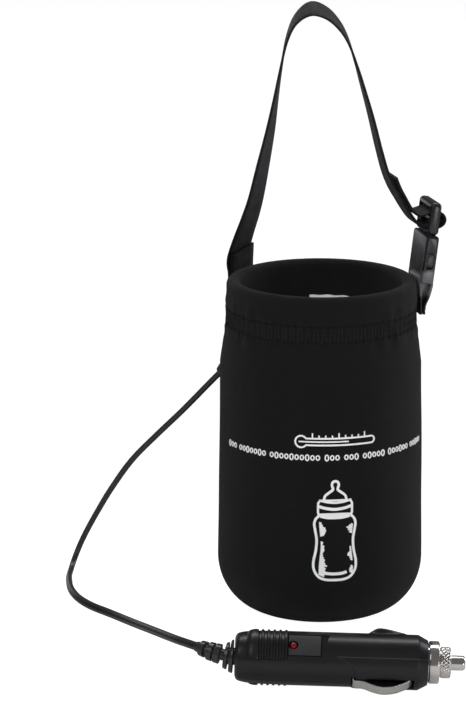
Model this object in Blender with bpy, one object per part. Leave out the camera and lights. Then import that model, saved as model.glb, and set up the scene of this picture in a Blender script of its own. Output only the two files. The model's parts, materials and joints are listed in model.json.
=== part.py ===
"""Car bottle warmer: an insulated heating sleeve, a buckled strap handle and a 12 V plug on a short lead.

Everything is designed in millimetres and scaled to metres as each object is made.
Z is up, the sleeve stands on the origin, and the viewer's side is -Y.
"""
from math import asin, cos, degrees, pi, radians, sin

import bmesh
import bpy
from mathutils import Matrix, Vector

MM = 0.001
GAP = 0.3                 # left between touching pieces

# sleeve
SLEEVE_RADIUS = 42.6
FLAT_RADIUS = 24.1        # flat part of the base
CORNER_HEIGHT = 21.8
SHELL = 2.5               # neoprene thickness
LINING = 2.5
PAD_HEIGHT = 3.0
COLLAR_RADIUS = 39.1
RIM_HEIGHT = 140.0
RIM_ROUND = 2.9           # half the thickness of the folded collar
SEAM_HEIGHT = 124.95
SEAM_HALF = 3.6
CORD_ANGLE = 157.5        # where the lead enters the sleeve, from +X
CORD_HEIGHT = 98.0
STEPS = 32
PLUG_STEPS = 30

# strap and buckle
WEBBING = 15.0
WEB_THICK = 1.0
LAYER = WEB_THICK + GAP
STRAP_ANGLE = 143.0       # where the strap is sewn on
BUCKLE_ANGLE = 13.6
BUCKLE_LEAN = 7.0
BUCKLE_RADIUS = 44.9      # joint face between the buckle's halves
BUCKLE_HEIGHT = 157.0
BUCKLE_HALF_WIDTH = 9.8
SOCKET_HALF_THICK = 2.7   # female half
PLUG_HALF_THICK = 2.35    # male half
LATCH_HALF_THICK = 1.3    # prong and arms
MALE_LENGTH = 13.6
FEMALE_LENGTH = 20.2

# lead and plug
CORD_DIAMETER = 3.4
PLUG_REAR = Vector((-35.6, -102.7, 12.3))
PLUG_YAW = 1.2
PLUG_PITCH = 1.4
BARREL = 10.5
BORE = 7.9                # inside radius of the plug's shells
LED_SIDE = 38.0           # angles about the plug's axis, from its upper side towards the viewer
GROUND_SIDE = 128.0
HUMP_SIDE = -52.0

COLOURS = {
    "neoprene": ((0.011, 0.011, 0.012), 0.85, 0.0),
    "lining": ((0.014, 0.011, 0.011), 0.9, 0.0),
    "webbing": ((0.010, 0.010, 0.011), 0.7, 0.0),
    "thread": ((0.016, 0.016, 0.017), 0.7, 0.0),
    "foam": ((0.09, 0.09, 0.09), 0.95, 0.0),
    "film": ((0.55, 0.22, 0.05), 0.35, 0.0),
    "label": ((0.8, 0.8, 0.8), 0.8, 0.0),
    "buckle": ((0.02, 0.02, 0.022), 0.4, 0.0),
    "jacket": ((0.012, 0.012, 0.012), 0.5, 0.0),
    "plug": ((0.010, 0.010, 0.010), 0.3, 0.0),
    "panel": ((0.006, 0.006, 0.006), 0.1, 0.0),
    "nickel": ((0.72, 0.70, 0.66), 0.2, 1.0),
    "brass": ((0.75, 0.55, 0.25), 0.3, 1.0),
    "spring": ((0.6, 0.6, 0.6), 0.3, 1.0),
    "lamp": ((0.5, 0.01, 0.01), 0.1, 0.0),
    "glass": ((0.85, 0.9, 0.9), 0.05, 0.0),
    "board": ((0.02, 0.12, 0.04), 0.5, 0.0),
    "ceramic": ((0.5, 0.35, 0.2), 0.5, 0.0),
    "red_wire": ((0.4, 0.01, 0.01), 0.5, 0.0),
    "black_wire": ((0.02, 0.02, 0.02), 0.5, 0.0),
}


# ---- making objects ----

def clear_scene():
    for item in list(bpy.data.objects):
        bpy.data.objects.remove(item, do_unlink=True)


def material(key):
    found = bpy.data.materials.get(key)
    if found:
        return found
    colour, roughness, metallic = COLOURS[key]
    made = bpy.data.materials.new(key)
    made.use_nodes = True
    shader = made.node_tree.nodes["Principled BSDF"]
    shader.inputs["Base Color"].default_value = (*colour, 1.0)
    shader.inputs["Roughness"].default_value = roughness
    shader.inputs["Metallic"].default_value = metallic
    made.diffuse_color = (*colour, 1.0)
    return made


def finish(name, bm, key, sharp=35.0):
    """Turn a bmesh in millimetres into a shaded object in metres."""
    bmesh.ops.recalc_face_normals(bm, faces=bm.faces)
    bmesh.ops.scale(bm, vec=(MM, MM, MM), verts=bm.verts)
    mesh = bpy.data.meshes.new(name)
    bm.to_mesh(mesh)
    bm.free()
    mesh.shade_smooth()
    mesh.set_sharp_from_angle(angle=radians(sharp))
    mesh.materials.append(material(key))
    made = bpy.data.objects.new(name, mesh)
    bpy.context.scene.collection.objects.link(made)
    return made


def loft(name, rings, key, closed=False):
    """Skin equal rings of points; end rings are capped unless the rings close on themselves."""
    bm = bmesh.new()
    rows = [[bm.verts.new(point) for point in ring] for ring in rings]
    pairs = list(zip(rows, rows[1:]))
    if closed:
        pairs.append((rows[-1], rows[0]))
    for low, high in pairs:
        for k in range(len(low)):
            j = (k + 1) % len(low)
            bm.faces.new((low[k], low[j], high[j], high[k]))
    if not closed:
        bm.faces.new(list(reversed(rows[0])))
        bm.faces.new(rows[-1])
    return finish(name, bm, key)


def turned(name, outline, key, frame=Matrix(), steps=STEPS, start=0.0, sweep=360.0):
    """Turn a closed outline of (radius, height) about the frame's Z axis."""
    full = sweep >= 360.0
    angles = [radians(start + sweep * k / steps) for k in range(steps if full else steps + 1)]
    bm = bmesh.new()
    rings = []
    for radius, height in outline:
        turns = angles if radius > 0 else angles[:1]
        rings.append([bm.verts.new(frame @ Vector((radius * cos(a), radius * sin(a), height)))
                      for a in turns])
    for a, b in zip(rings, rings[1:] + rings[:1]):
        if len(a) == 1 and len(b) == 1:
            continue
        for k in range(steps):
            j = (k + 1) % len(angles)
            corners = [a[k % len(a)], a[j % len(a)], b[j % len(b)], b[k % len(b)]]
            bm.faces.new(list(dict.fromkeys(corners)))
    if not full:
        bm.faces.new([ring[0] for ring in rings])
        bm.faces.new([ring[-1] for ring in reversed(rings)])
    return finish(name, bm, key)


def block(name, low, high, key, frame=Matrix(), bevel=0.0):
    """Box between two corners in the frame, with rounded edges where bevel is given."""
    bm = bmesh.new()
    bmesh.ops.create_cube(bm, size=1.0)
    size = Vector(high) - Vector(low)
    middle = (Vector(high) + Vector(low)) / 2
    bmesh.ops.scale(bm, vec=size, verts=bm.verts)
    bmesh.ops.translate(bm, vec=middle, verts=bm.verts)
    if bevel:
        bmesh.ops.bevel(bm, geom=bm.edges[:], offset=bevel, segments=2, profile=0.5, affect="EDGES")
    bmesh.ops.transform(bm, matrix=frame, verts=bm.verts)
    return finish(name, bm, key)


def prism(name, outline, low, high, key, frame=Matrix()):
    """Extrude a flat outline of (x, y) from low to high along the frame's Z axis."""
    rings = [[frame @ Vector((x, y, z)) for x, y in outline] for z in (low, high)]
    return loft(name, rings, key)


def combine(target, others, operation):
    """Apply a Boolean with each of the other objects and use them up."""
    for other in others:
        modifier = target.modifiers.new(operation.title(), "BOOLEAN")
        modifier.operation = operation
        modifier.solver = "EXACT"
        modifier.object = other
        view = bpy.context.evaluated_depsgraph_get()
        view.update()
        mesh = bpy.data.meshes.new_from_object(target.evaluated_get(view))
        target.modifiers.clear()
        target.data = mesh
        bpy.data.objects.remove(other, do_unlink=True)
    target.data.shade_smooth()
    target.data.set_sharp_from_angle(angle=radians(35.0))
    return target


def set_axis_point(item, point):
    """Put the object's origin on its joint's axis, point in millimetres."""
    shift = Vector(point) * MM
    item.data.transform(Matrix.Translation(-shift))
    item.location = shift


# ---- curves ----

def through(points, pieces):
    """Smooth curve through the points, each interval cut into pieces."""
    points = [Vector(point) for point in points]
    ends = [2 * points[0] - points[1], *points, 2 * points[-1] - points[-2]]
    line = []
    for i in range(1, len(points)):
        a, b, c, d = ends[i - 1:i + 3]
        for k in range(pieces):
            t = k / pieces
            line.append(0.5 * (2 * b + (c - a) * t + (2 * a - 5 * b + 4 * c - d) * t ** 2
                               + (3 * b - a - 3 * c + d) * t ** 3))
    line.append(points[-1])
    return line


def wire(name, points, diameter, key, pieces=4):
    """Round lead along a smooth curve through the points."""
    data = bpy.data.curves.new(name, "CURVE")
    data.dimensions = "3D"
    data.bevel_depth = diameter / 2 * MM
    data.bevel_resolution = 2
    data.use_fill_caps = True
    data.render_resolution_u = 0
    spline = data.splines.new("POLY")
    line = through(points, pieces)
    spline.points.add(len(line) - 1)
    for slot, point in zip(spline.points, line):
        slot.co = (*(point * MM), 1.0)
    data.materials.append(material(key))
    made = bpy.data.objects.new(name, data)
    bpy.context.scene.collection.objects.link(made)
    return made


def ribbon(name, stations, width, thickness, key, pieces=2):
    """Flat band: stations are (point, direction across the band)."""
    line = through([point for point, across in stations], pieces)
    across = through([across for point, across in stations], pieces)
    rings = []
    for i, point in enumerate(line):
        ahead = (line[min(i + 1, len(line) - 1)] - line[max(i - 1, 0)]).normalized()
        side = (across[i] - ahead * across[i].dot(ahead)).normalized() * width / 2
        face = ahead.cross(side).normalized() * thickness / 2
        rings.append([point + side + face, point + side - face, point - side - face,
                      point - side + face])
    return loft(name, rings, key)


def arc(low, high, steps):
    return [radians(low + (high - low) * k / steps) for k in range(steps + 1)]


# ---- frames ----

def at_angle(angle):
    """Frame at the sleeve's axis with X pointing out at an angle."""
    return Matrix.Rotation(radians(angle), 4, "Z")


def radial(angle, radius, height):
    return at_angle(angle) @ Vector((radius, 0.0, height))


def buckle_frame():
    """X across the buckle towards the viewer, Y out from the sleeve, Z along the pull."""
    out = Vector((cos(radians(BUCKLE_ANGLE)), sin(radians(BUCKLE_ANGLE)), 0.0))
    pull = Vector((0, 0, 1)) * cos(radians(BUCKLE_LEAN)) + out * sin(radians(BUCKLE_LEAN))
    across = Vector((out.y, -out.x, 0.0))
    face = pull.cross(across)
    frame = Matrix((across, face, pull)).transposed().to_4x4()
    frame.translation = out * BUCKLE_RADIUS + Vector((0, 0, BUCKLE_HEIGHT))
    return frame


def plug_frame():
    """Z along the plug from its rear to its tip, X on its upper side, Y towards the viewer."""
    yaw, pitch = radians(PLUG_YAW), radians(PLUG_PITCH)
    along = Vector((cos(yaw) * cos(pitch), -sin(yaw) * cos(pitch), -sin(pitch)))
    upper = Vector((sin(pitch) * cos(yaw), -sin(pitch) * sin(yaw), cos(pitch)))
    near = along.cross(upper)
    frame = Matrix((upper, near, along)).transposed().to_4x4()
    frame.translation = PLUG_REAR
    return frame


BUCKLE = buckle_frame()
PLUG = plug_frame()


def plug_side(angle):
    """Plug frame turned so that its X axis points to a side."""
    return PLUG @ Matrix.Rotation(radians(angle), 4, "Z")


# ---- sleeve ----

SIDE = [(42.5, 34.0), (42.2, 62.0), (41.7, 89.5), (41.6, 105.0), (40.6, 112.6),
        (39.7, 117.7), (39.1, 122.5), (39.1, 124.8)]


def wall(offset, lift=0.0, top=124.8):
    """Outer side of the sleeve moved in by offset, from the flat base's edge up to top."""
    rise = CORNER_HEIGHT - offset - lift
    reach = SLEEVE_RADIUS - FLAT_RADIUS - offset
    corner = [(FLAT_RADIUS + reach * sin(a), CORNER_HEIGHT - rise * cos(a)) for a in arc(0, 90, 5)]
    side = [(radius - offset, height) for radius, height in SIDE if height <= top]
    return corner + side


def pocket(name):
    """Space between shell and lining that holds the thermostat."""
    return block(name, (36.9, -5.5, 81.5), (40.2, 5.5, 105.0), "foam", at_angle(CORD_ANGLE))


def outer_shell():
    outline = [(0, 0), *wall(0.0), *reversed(wall(SHELL)), (0, SHELL)]
    shell = turned("outer_shell", outline, "neoprene")
    lead_hole = turned("lead_hole", [(0, 34), (3.3, 34), (3.3, 46), (0, 46)], "foam",
                       cord_exit_frame(), steps=16)
    return combine(shell, [pocket("shell_pocket"), lead_hole], "DIFFERENCE")


def inner_lining():
    lift = PAD_HEIGHT - GAP - 0.1
    outer = wall(SHELL + 1.0, lift, 112.6) + [(36.0, 118.7)]
    inner = wall(SHELL + 1.0 + LINING, lift, 112.6) + [(33.6, 118.7)]
    outline = [(0, outer[0][1]), *outer, *reversed(inner), (0, inner[0][1])]
    lining = turned("inner_lining", outline, "lining")
    return combine(lining, [pocket("lining_pocket")], "DIFFERENCE")


def base_pad():
    low = SHELL + GAP
    high = low + PAD_HEIGHT
    turned("base_pad", [(0, low), (23.5, low), (23.5, high), (0, high)], "foam")


def collar():
    """Folded band over the rim, with the slot of the fold open below."""
    centre = COLLAR_RADIUS - RIM_ROUND
    top = RIM_HEIGHT - RIM_ROUND
    rim = [(centre + RIM_ROUND * cos(a), top + RIM_ROUND * sin(a)) for a in arc(0, 180, 6)]
    leg = 2.4
    slot_outer, slot_inner = COLLAR_RADIUS - leg, COLLAR_RADIUS - 2 * RIM_ROUND + leg
    outline = [(COLLAR_RADIUS, 125.1), *rim, (COLLAR_RADIUS - 2 * RIM_ROUND, 119.0),
               (slot_inner, 119.0), (slot_inner, 134.0), (slot_outer, 134.0), (slot_outer, 125.1)]
    turned("collar", outline, "neoprene")


def seam_stitching():
    """The flat seam's band of thread, bridging collar and shell."""
    inner = COLLAR_RADIUS + GAP
    low, high = SEAM_HEIGHT - SEAM_HALF, SEAM_HEIGHT + SEAM_HALF
    outline = [(inner, low), (inner + 0.35, low), (inner + 0.35, high), (inner, high)]
    turned("seam_stitching", outline, "thread")


def heater_film():
    """Flexible heating element wrapped between shell and lining, open where the lead comes in."""
    outer_offset, inner_offset = SHELL + GAP, SHELL + 0.7
    levels = [level for level in SIDE if level[1] < 104.0] + [(41.6, 104.0)]
    levels.insert(0, (42.55, 28.0))
    outline = [(radius - outer_offset, height) for radius, height in levels]
    outline += [(radius - inner_offset, height) for radius, height in reversed(levels)]
    opening = 45.0
    turned("heater_film", outline, "film", steps=28, start=CORD_ANGLE + opening / 2,
           sweep=360 - opening)


def thermostat_and_leads():
    frame = at_angle(CORD_ANGLE)
    block("thermostat", (37.3, -3.2, 83.0), (39.7, 3.2, 92.5), "ceramic", frame, bevel=0.4)
    live = [frame @ Vector(p) for p in ((38.9, -1.3, 97.4), (38.6, -1.4, 95.5), (38.5, -1.4, 92.9))]
    neutral = [frame @ Vector(p) for p in ((38.9, 1.3, 98.6), (38.6, 2.2, 101.0), (38.5, 3.6, 104.2))]
    wire("heater_lead_live", live, 0.9, "red_wire", pieces=2)
    wire("heater_lead_neutral", neutral, 0.9, "black_wire", pieces=2)


def cord_exit_frame():
    """Frame at the sleeve's axis whose Z points out where the lead comes in."""
    out = at_angle(CORD_ANGLE) @ Matrix.Rotation(radians(90), 4, "Y")
    return Matrix.Translation((0, 0, CORD_HEIGHT)) @ out


def cord_grommet():
    """Moulded bush through the shell: flange outside, stem inside, short nose turned down."""
    stem = [(0, 39.5), (3.0, 39.5), (3.0, 42.1), (4.6, 42.1), (4.6, 42.9), (0, 42.9)]
    bush = turned("cord_grommet", stem, "jacket", cord_exit_frame(), steps=16)
    start = radial(CORD_ANGLE, 42.5, CORD_HEIGHT)
    end = GROMMET_END - (GROMMET_END - start).normalized() * 0.2
    nose_frame = (end - start).to_track_quat("Z", "Y").to_matrix().to_4x4()
    nose_frame.translation = start
    length = (end - start).length
    nose = turned("nose", [(0, -0.4), (2.9, -0.4), (2.2, length), (0, length)], "jacket", nose_frame,
                  steps=16)
    return combine(bush, [nose], "UNION")


def care_label():
    """Blank white label sewn inside the back of the rim."""
    outline = [(32.5, 102.0), (32.9, 102.0), (32.9, 126.0), (32.5, 126.0)]
    half = degrees(asin(11.0 / 32.7))
    turned("care_label", outline, "label", steps=8, start=81.0 - half, sweep=2 * half)


# ---- strap and buckle ----

def strap_webbing():
    """One band: folded end sewn on the left, up and over, round the male half's bar, free tail."""
    across = Vector((sin(radians(STRAP_ANGLE)), -cos(radians(STRAP_ANGLE)), 0)) * -1.0
    inner, outer = 40.75, 40.75 + LAYER + 0.1
    stations = [(Vector((-32.4, 22.6, 147.0)), across)]
    levels = [(inner, 140.0), (inner, 131.0), (inner, 122.6), (inner + 0.28, 121.8),
              (inner + 0.7, 121.5), (outer - 0.28, 121.8), (outer, 122.6), (outer, 131.0),
              (outer + 0.2, 138.0)]
    stations += [(radial(STRAP_ANGLE, radius, height), across) for radius, height in levels]
    free = [((-34.2, 24.4, 143.6), (-0.60, -0.80, 0.0)), ((-32.3, 23.0, 151.2), (-0.56, -0.83, 0.0)),
            ((-28.9, 22.0, 161.6), (-0.50, -0.87, 0.0)), ((-26.5, 21.2, 170.5), (-0.43, -0.90, 0.0)),
            ((-23.9, 20.3, 183.2), (-0.36, -0.93, 0.0)), ((-21.1, 19.4, 197.1), (-0.26, -0.97, 0.0)),
            ((-18.8, 18.6, 211.0), (-0.14, -0.99, 0.0)), ((-16.5, 17.8, 225.0), (-0.06, -1.0, 0.0)),
            ((-14.2, 17.2, 236.0), (-0.02, -1.0, -0.03)), ((-10.8, 16.6, 243.8), (0.0, -0.99, -0.12)),
            ((-4.9, 15.9, 248.4), (0.0, -0.97, -0.23)), ((1.6, 15.2, 246.7), (0.0, -0.98, -0.19)),
            ((6.9, 14.5, 241.8), (0.0, -0.99, -0.12)), ((10.7, 13.8, 235.3), (0.02, -1.0, -0.06)),
            ((14.0, 13.1, 226.0), (0.04, -1.0, 0.0)), ((16.4, 12.6, 218.0), (0.08, -1.0, 0.0)),
            ((20.1, 12.0, 205.0), (0.12, -0.99, 0.0)), ((23.5, 11.4, 191.5), (0.15, -0.99, 0.0)),
            ((26.9, 11.0, 180.0), (0.18, -0.98, 0.0))]
    stations += [(Vector(point), Vector(side)) for point, side in free]
    buckle_across = BUCKLE.col[0].to_3d()
    # round the bar, in the buckle's frame: distance out from the sleeve and height
    wrap = [(-15.0, 14.2), (-10.0, 7.8), (-6.5, 4.2), (-3.5, 2.7), (-0.5, 2.7), (2.2, 3.2), (4.2, 4.5),
            (4.9, 6.3), (4.3, 8.1), (2.4, 9.4), (-0.5, 9.8), (-3.5, 9.2), (-6.4, 8.7), (-9.0, 9.8),
            (-11.3, 12.2), (-13.5, 14.9), (-15.5, 17.6), (-17.3, 20.6), (-18.2, 22.4)]
    stations += [(BUCKLE @ Vector((0, out, up)), buckle_across) for out, up in wrap]
    ribbon("strap_webbing", stations, WEBBING, WEB_THICK, "webbing")


def buckle_tab():
    """Short loop of webbing that ties the female half to the sleeve."""
    across = BUCKLE.col[0].to_3d()
    inner, outer = 40.75, 40.75 + LAYER + 0.1
    up = [(inner, 121.6), (inner, 127.0), (inner - 0.1, 133.0)]
    stations = [(radial(BUCKLE_ANGLE, radius, height), across) for radius, height in up]
    loop = [(-2.3, -19.6), (-1.9, -18.0), (0.0, -17.1), (2.0, -17.9), (2.6, -19.6)]
    stations += [(BUCKLE @ Vector((0, out, high)), across) for out, high in loop]
    down = [(45.3, 135.8), (44.2, 131.4), (42.6, 127.6), (outer, 124.6), (outer, 121.6)]
    stations += [(radial(BUCKLE_ANGLE, radius, height), across) for radius, height in down]
    ribbon("buckle_tab", stations, WEBBING - 0.4, WEB_THICK, "webbing", pieces=3)


def buckle_female():
    wide, thick = BUCKLE_HALF_WIDTH, SOCKET_HALF_THICK
    body = block("buckle_female", (-wide, -thick, -FEMALE_LENGTH), (wide, thick, -GAP), "buckle", BUCKLE,
                 bevel=0.9)
    cavity = block("cavity", (-8.2, -1.6, -14.3), (8.2, 1.6, 2.0), "buckle", BUCKLE)
    slot = block("slot", (-7.6, -4.0, -18.4), (7.6, 4.0, -15.4), "buckle", BUCKLE)
    waist = [block("waist", (-7.8, low, -21.2), (7.8, high, -16.8), "buckle", BUCKLE)
             for low, high in ((-4.0, -1.2), (1.2, 4.0))]
    windows = [block("window", (low, -1.45, -14.1), (high, 1.45, -7.2), "buckle", BUCKLE)
               for low, high in ((-11.0, -7.4), (7.4, 11.0))]
    return combine(body, [cavity, slot, *waist, *windows], "DIFFERENCE")


def buckle_male():
    wide, thick, latch = BUCKLE_HALF_WIDTH - 0.5, PLUG_HALF_THICK, LATCH_HALF_THICK
    body = block("buckle_male", (-wide, -thick, 0.0), (wide, thick, MALE_LENGTH), "buckle", BUCKLE,
                 bevel=0.9)
    opening = block("opening", (-7.85, -4.0, 1.8), (7.85, 4.0, 11.3), "buckle", BUCKLE)
    combine(body, [opening], "DIFFERENCE")
    bar = block("bar", (-8.2, -1.1, 5.2), (8.2, 1.1, 7.3), "buckle", BUCKLE)
    prong = block("prong", (-1.4, -latch, -13.6), (1.4, latch, 1.0), "buckle", BUCKLE)
    return combine(body, [bar, prong], "UNION")


ARM_PIVOT = (3.7, -0.6)   # across the buckle and along it


def buckle_arm(name, side):
    """Springy latch arm with its catch and thumb pad; side is +1 towards the viewer."""
    outline = [(2.9, -0.5), (4.5, -0.35), (5.2, -3.0), (6.5, -5.4), (7.5, -6.5), (7.6, -7.6), (9.6, -7.6),
               (9.7, -9.0), (9.5, -12.3), (9.0, -13.4), (8.1, -13.8), (6.9, -13.0), (5.9, -11.1),
               (5.0, -8.6), (4.2, -5.7), (3.1, -3.2)]
    rings = [[BUCKLE @ Vector((side * x, y, z)) for x, z in outline]
             for y in (-LATCH_HALF_THICK, LATCH_HALF_THICK)]
    arm = loft(name, rings, "buckle")
    set_axis_point(arm, BUCKLE @ Vector((side * ARM_PIVOT[0], 0, ARM_PIVOT[1])))
    return arm


# ---- lead ----

GROMMET_END = Vector((-41.7, 17.4, 95.2))
CORD_ROUTE = [GROMMET_END, (-46.6, 19.5, 89.6), (-57.7, 24.0, 76.8), (-68.1, 28.0, 65.6),
              (-79.5, 32.5, 52.6), (-88.6, 36.6, 38.6), (-94.6, 40.2, 27.6), (-99.0, 42.6, 19.0),
              (-102.4, 43.2, 11.8), (-104.9, 40.9, 5.9), (-106.3, 35.9, 2.5), (-106.8, 29.0, 1.8),
              (-106.4, 21.5, 1.8), (-105.6, 14.0, 1.8), (-103.9, 6.2, 1.8), (-100.6, -2.6, 1.8),
              (-95.2, -11.8, 1.9), (-87.2, -23.0, 2.6), (-78.2, -40.2, 4.9), (-69.0, -61.0, 8.6),
              (-59.6, -81.8, 12.2), (-54.4, -91.0, 13.6), (-50.4, -96.6, 14.2)]
RELIEF_LENGTH = 16.0


def cord_lead():
    wire("cord_lead", CORD_ROUTE, CORD_DIAMETER, "jacket", pieces=3)


def strain_relief():
    """Ribbed rubber sleeve that bends from the plug's axis towards the lead."""
    start = PLUG @ Vector((0, 0, 0))
    back = -PLUG.col[2].to_3d()
    end = Vector(CORD_ROUTE[-1])
    arrive = (Vector(CORD_ROUTE[-2]) - end).normalized()
    end -= arrive * GAP
    outline = [(-1.0, 3.4), (0.6, 3.4), (0.7, 6.6), (1.9, 6.2), (2.0, 4.2), (2.5, 4.2), (2.6, 5.4),
               (3.8, 5.0), (3.9, 2.7), (5.4, 2.5), (5.5, 3.8), (10.1, 3.6), (10.2, 2.4), (11.3, 2.4),
               (11.4, 3.2), (13.4, 3.0), (13.5, 2.3), (RELIEF_LENGTH, 2.1)]
    reach = (end - start).length / 3
    control = [start, start + back * reach, end + arrive * -reach, end]
    rings = []
    for distance, radius in outline:
        t = distance / RELIEF_LENGTH
        s = 1 - t
        point = (s ** 3 * control[0] + 3 * s * s * t * control[1] + 3 * s * t * t * control[2]
                 + t ** 3 * control[3])
        ahead = (s * s * (control[1] - control[0]) + 2 * s * t * (control[2] - control[1])
                 + t * t * (control[3] - control[2])).normalized()
        side = ahead.cross(Vector((0, 0, 1))).normalized()
        up = side.cross(ahead)
        rings.append([point + (side * cos(a) + up * sin(a)) * radius for a in arc(0, 340, 17)])
    relief = loft("cord_strain_relief", rings, "jacket")
    flange = turned("flange", [(0, 4.6), (6.6, 4.6), (6.6, 3.0), (3.4, 3.0), (3.4, 0.2), (0, 0.2)],
                    "jacket", PLUG, steps=18)
    return combine(relief, [flange], "UNION")


# ---- plug ----

def arc_block(name, outline, centre, half, steps=6):
    """Outline of (radius, distance along) swept round the plug's axis about one side."""
    return turned(name, outline, "plug", plug_side(centre), steps=steps, start=-half, sweep=2 * half)


def grip(centre):
    """Raised thumb nose and five ribs on one side of the plug."""
    nose = [(8.0, 4.6), (10.6, 4.8), (11.6, 6.4), (11.8, 8.6), (8.0, 9.4)]
    pieces = [arc_block("nose", nose, centre, 34.5)]
    for k in range(5):
        low = 10.1 + 2.25 * k
        high = low + 1.3
        rib = [(8.5, low), (11.4, low), (11.8, low + 0.35), (11.8, high - 0.35), (11.4, high), (8.5, high)]
        pieces.append(arc_block("rib", rib, centre, 36.4))
    return pieces


def plug_body():
    """Hollow moulding with both grips and the hump, before it is split into its two shells."""
    outside = [(3.9, 0.0), (7.6, 0.0), (8.8, 0.6), (9.5, 2.0), (10.0, 5.0), (10.3, 10.0), (BARREL, 20.0),
               (BARREL, 71.0), (10.1, 71.8), (8.4, 75.0)]
    inside = [(7.2, 75.0), (7.2, 72.3), (BORE, 72.3), (BORE, 7.0), (7.2, 5.2), (7.2, 2.6), (3.9, 2.6)]
    body = turned("plug_body", outside + inside, "plug", PLUG, PLUG_STEPS)
    ridge = [(9.0, 51.5), (10.4, 51.5), (12.7, 55.0), (12.9, 57.0), (11.3, 66.5), (9.0, 66.5)]
    hump = arc_block("hump", ridge, HUMP_SIDE, 26)
    combine(body, [*grip(LED_SIDE), *grip(LED_SIDE + 180), hump], "UNION")
    pocket_cut = block("panel_pocket", (8.5, -4.9, 20.3), (12.5, 4.9, 33.7), "plug", plug_side(LED_SIDE))
    notch = block("notch", (9.7, -2.6, 34.3), (12.0, 2.6, 35.6), "plug", plug_side(LED_SIDE))
    lamp_hole = turned("lamp_hole", LAMP_HOLE, "plug", lamp_frame(), steps=16)
    contact = plug_side(GROUND_SIDE)
    slots = [block("contact_slot", (6.5, -3.05, low), (13.0, 3.05, high), "plug", contact)
             for low, high in ((45.2, 46.8), (51.6, 69.6))]
    return combine(body, [pocket_cut, notch, lamp_hole, *slots], "DIFFERENCE")


LAMP_HOLE = [(0, 5), (1.95, 5), (1.95, 12), (0, 12)]


def lamp_frame():
    """Z out of the plug through the lamp's hole."""
    return plug_side(LED_SIDE) @ Matrix.Translation((0, 0, 22.6)) @ Matrix.Rotation(radians(90), 4, "Y")


def plug_shells():
    """The two shells meet in the plane through the ground contact and the hump."""
    body = plug_body()
    half_gap, far = GAP / 2, 30.0
    for name, inner, outer in (("plug_shell_upper", -far, half_gap), ("plug_shell_lower", -half_gap, far)):
        shell = bpy.data.objects.new(name, body.data.copy())
        bpy.context.scene.collection.objects.link(shell)
        other_half = block("half", (inner, -far, -5.0), (outer, far, 95.0), "plug", plug_side(LED_SIDE))
        combine(shell, [other_half], "DIFFERENCE")
    bpy.data.objects.remove(body, do_unlink=True)


def lamp():
    """Face panel, red lamp, its board and its resistor."""
    panel = block("led_panel", (8.8, -4.5, 20.7), (9.5, 4.5, 33.3), "panel", plug_side(LED_SIDE),
                  bevel=0.15)
    hole = turned("panel_hole", LAMP_HOLE, "panel", lamp_frame(), steps=16)
    combine(panel, [hole], "DIFFERENCE")
    dome = [(1.6 * cos(a), 8.9 + 1.3 * sin(a)) for a in arc(0, 80, 5)]
    turned("led_lamp", [(0, 5.2), (1.6, 5.2), *dome, (0, 10.2)], "lamp", lamp_frame(), steps=16)
    block("led_board", (3.6, -5.0, 16.0), (4.8, 5.0, 39.0), "board", plug_side(LED_SIDE))
    resistor = plug_side(LED_SIDE) @ Matrix.Translation((6.1, 0, 30.0))
    turned("led_resistor", [(0, -2.4), (0.9, -2.4), (1.05, -1.6), (0.9, -0.8), (0.9, 0.8), (1.05, 1.6),
                            (0.9, 2.4), (0, 2.4)], "ceramic", resistor, steps=12)


CONTACT_PIVOT = (9.6, 47.5)   # out from the plug's axis and along it
CONTACT_WIDTH = 5.3


def ground_contact():
    """Bowed nickel strip: foot, bow and sliding end."""
    line = [(8.9, 45.9), (10.2, 45.95), (10.95, 46.6), (11.05, 48.4), (11.35, 50.2), (12.4, 52.8),
            (13.4, 55.8), (13.6, 58.6), (13.0, 62.2), (11.5, 65.6), (10.4, 67.4), (9.4, 68.6)]
    frame = plug_side(GROUND_SIDE)
    across = frame.col[1].to_3d()
    stations = [(frame @ Vector((out, 0, along)), across) for out, along in line]
    strip = ribbon("ground_contact", stations, CONTACT_WIDTH, 0.5, "nickel")
    set_axis_point(strip, frame @ Vector((CONTACT_PIVOT[0], 0, CONTACT_PIVOT[1])))


def front_bushing():
    """Threaded metal ring held behind the shells' front wall."""
    outline = [(5.5, 79.4), (7.9, 79.4), (8.3, 79.0), (8.3, 75.7), (7.9, 75.3), (6.9, 75.3), (6.9, 72.0),
               (7.6, 72.0), (7.6, 70.1), (5.5, 70.1)]
    turned("front_bushing", outline, "nickel", PLUG, PLUG_STEPS)


def retaining_cap():
    """Knurled nut that holds the tip in; its skirt screws into the bushing."""
    outline = [(3.3, 83.9), (5.6, 83.9), (6.1, 83.4), (6.1, 80.2), (5.7, 79.7), (5.1, 79.7), (5.1, 72.0),
               (4.2, 72.0), (4.2, 81.6), (3.3, 81.6)]
    cap = turned("retaining_cap", outline, "nickel", PLUG, PLUG_STEPS)
    set_axis_point(cap, PLUG @ Vector((0, 0, 75.0)))


TIP_BACK = (0, 0, 79.0)


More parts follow.
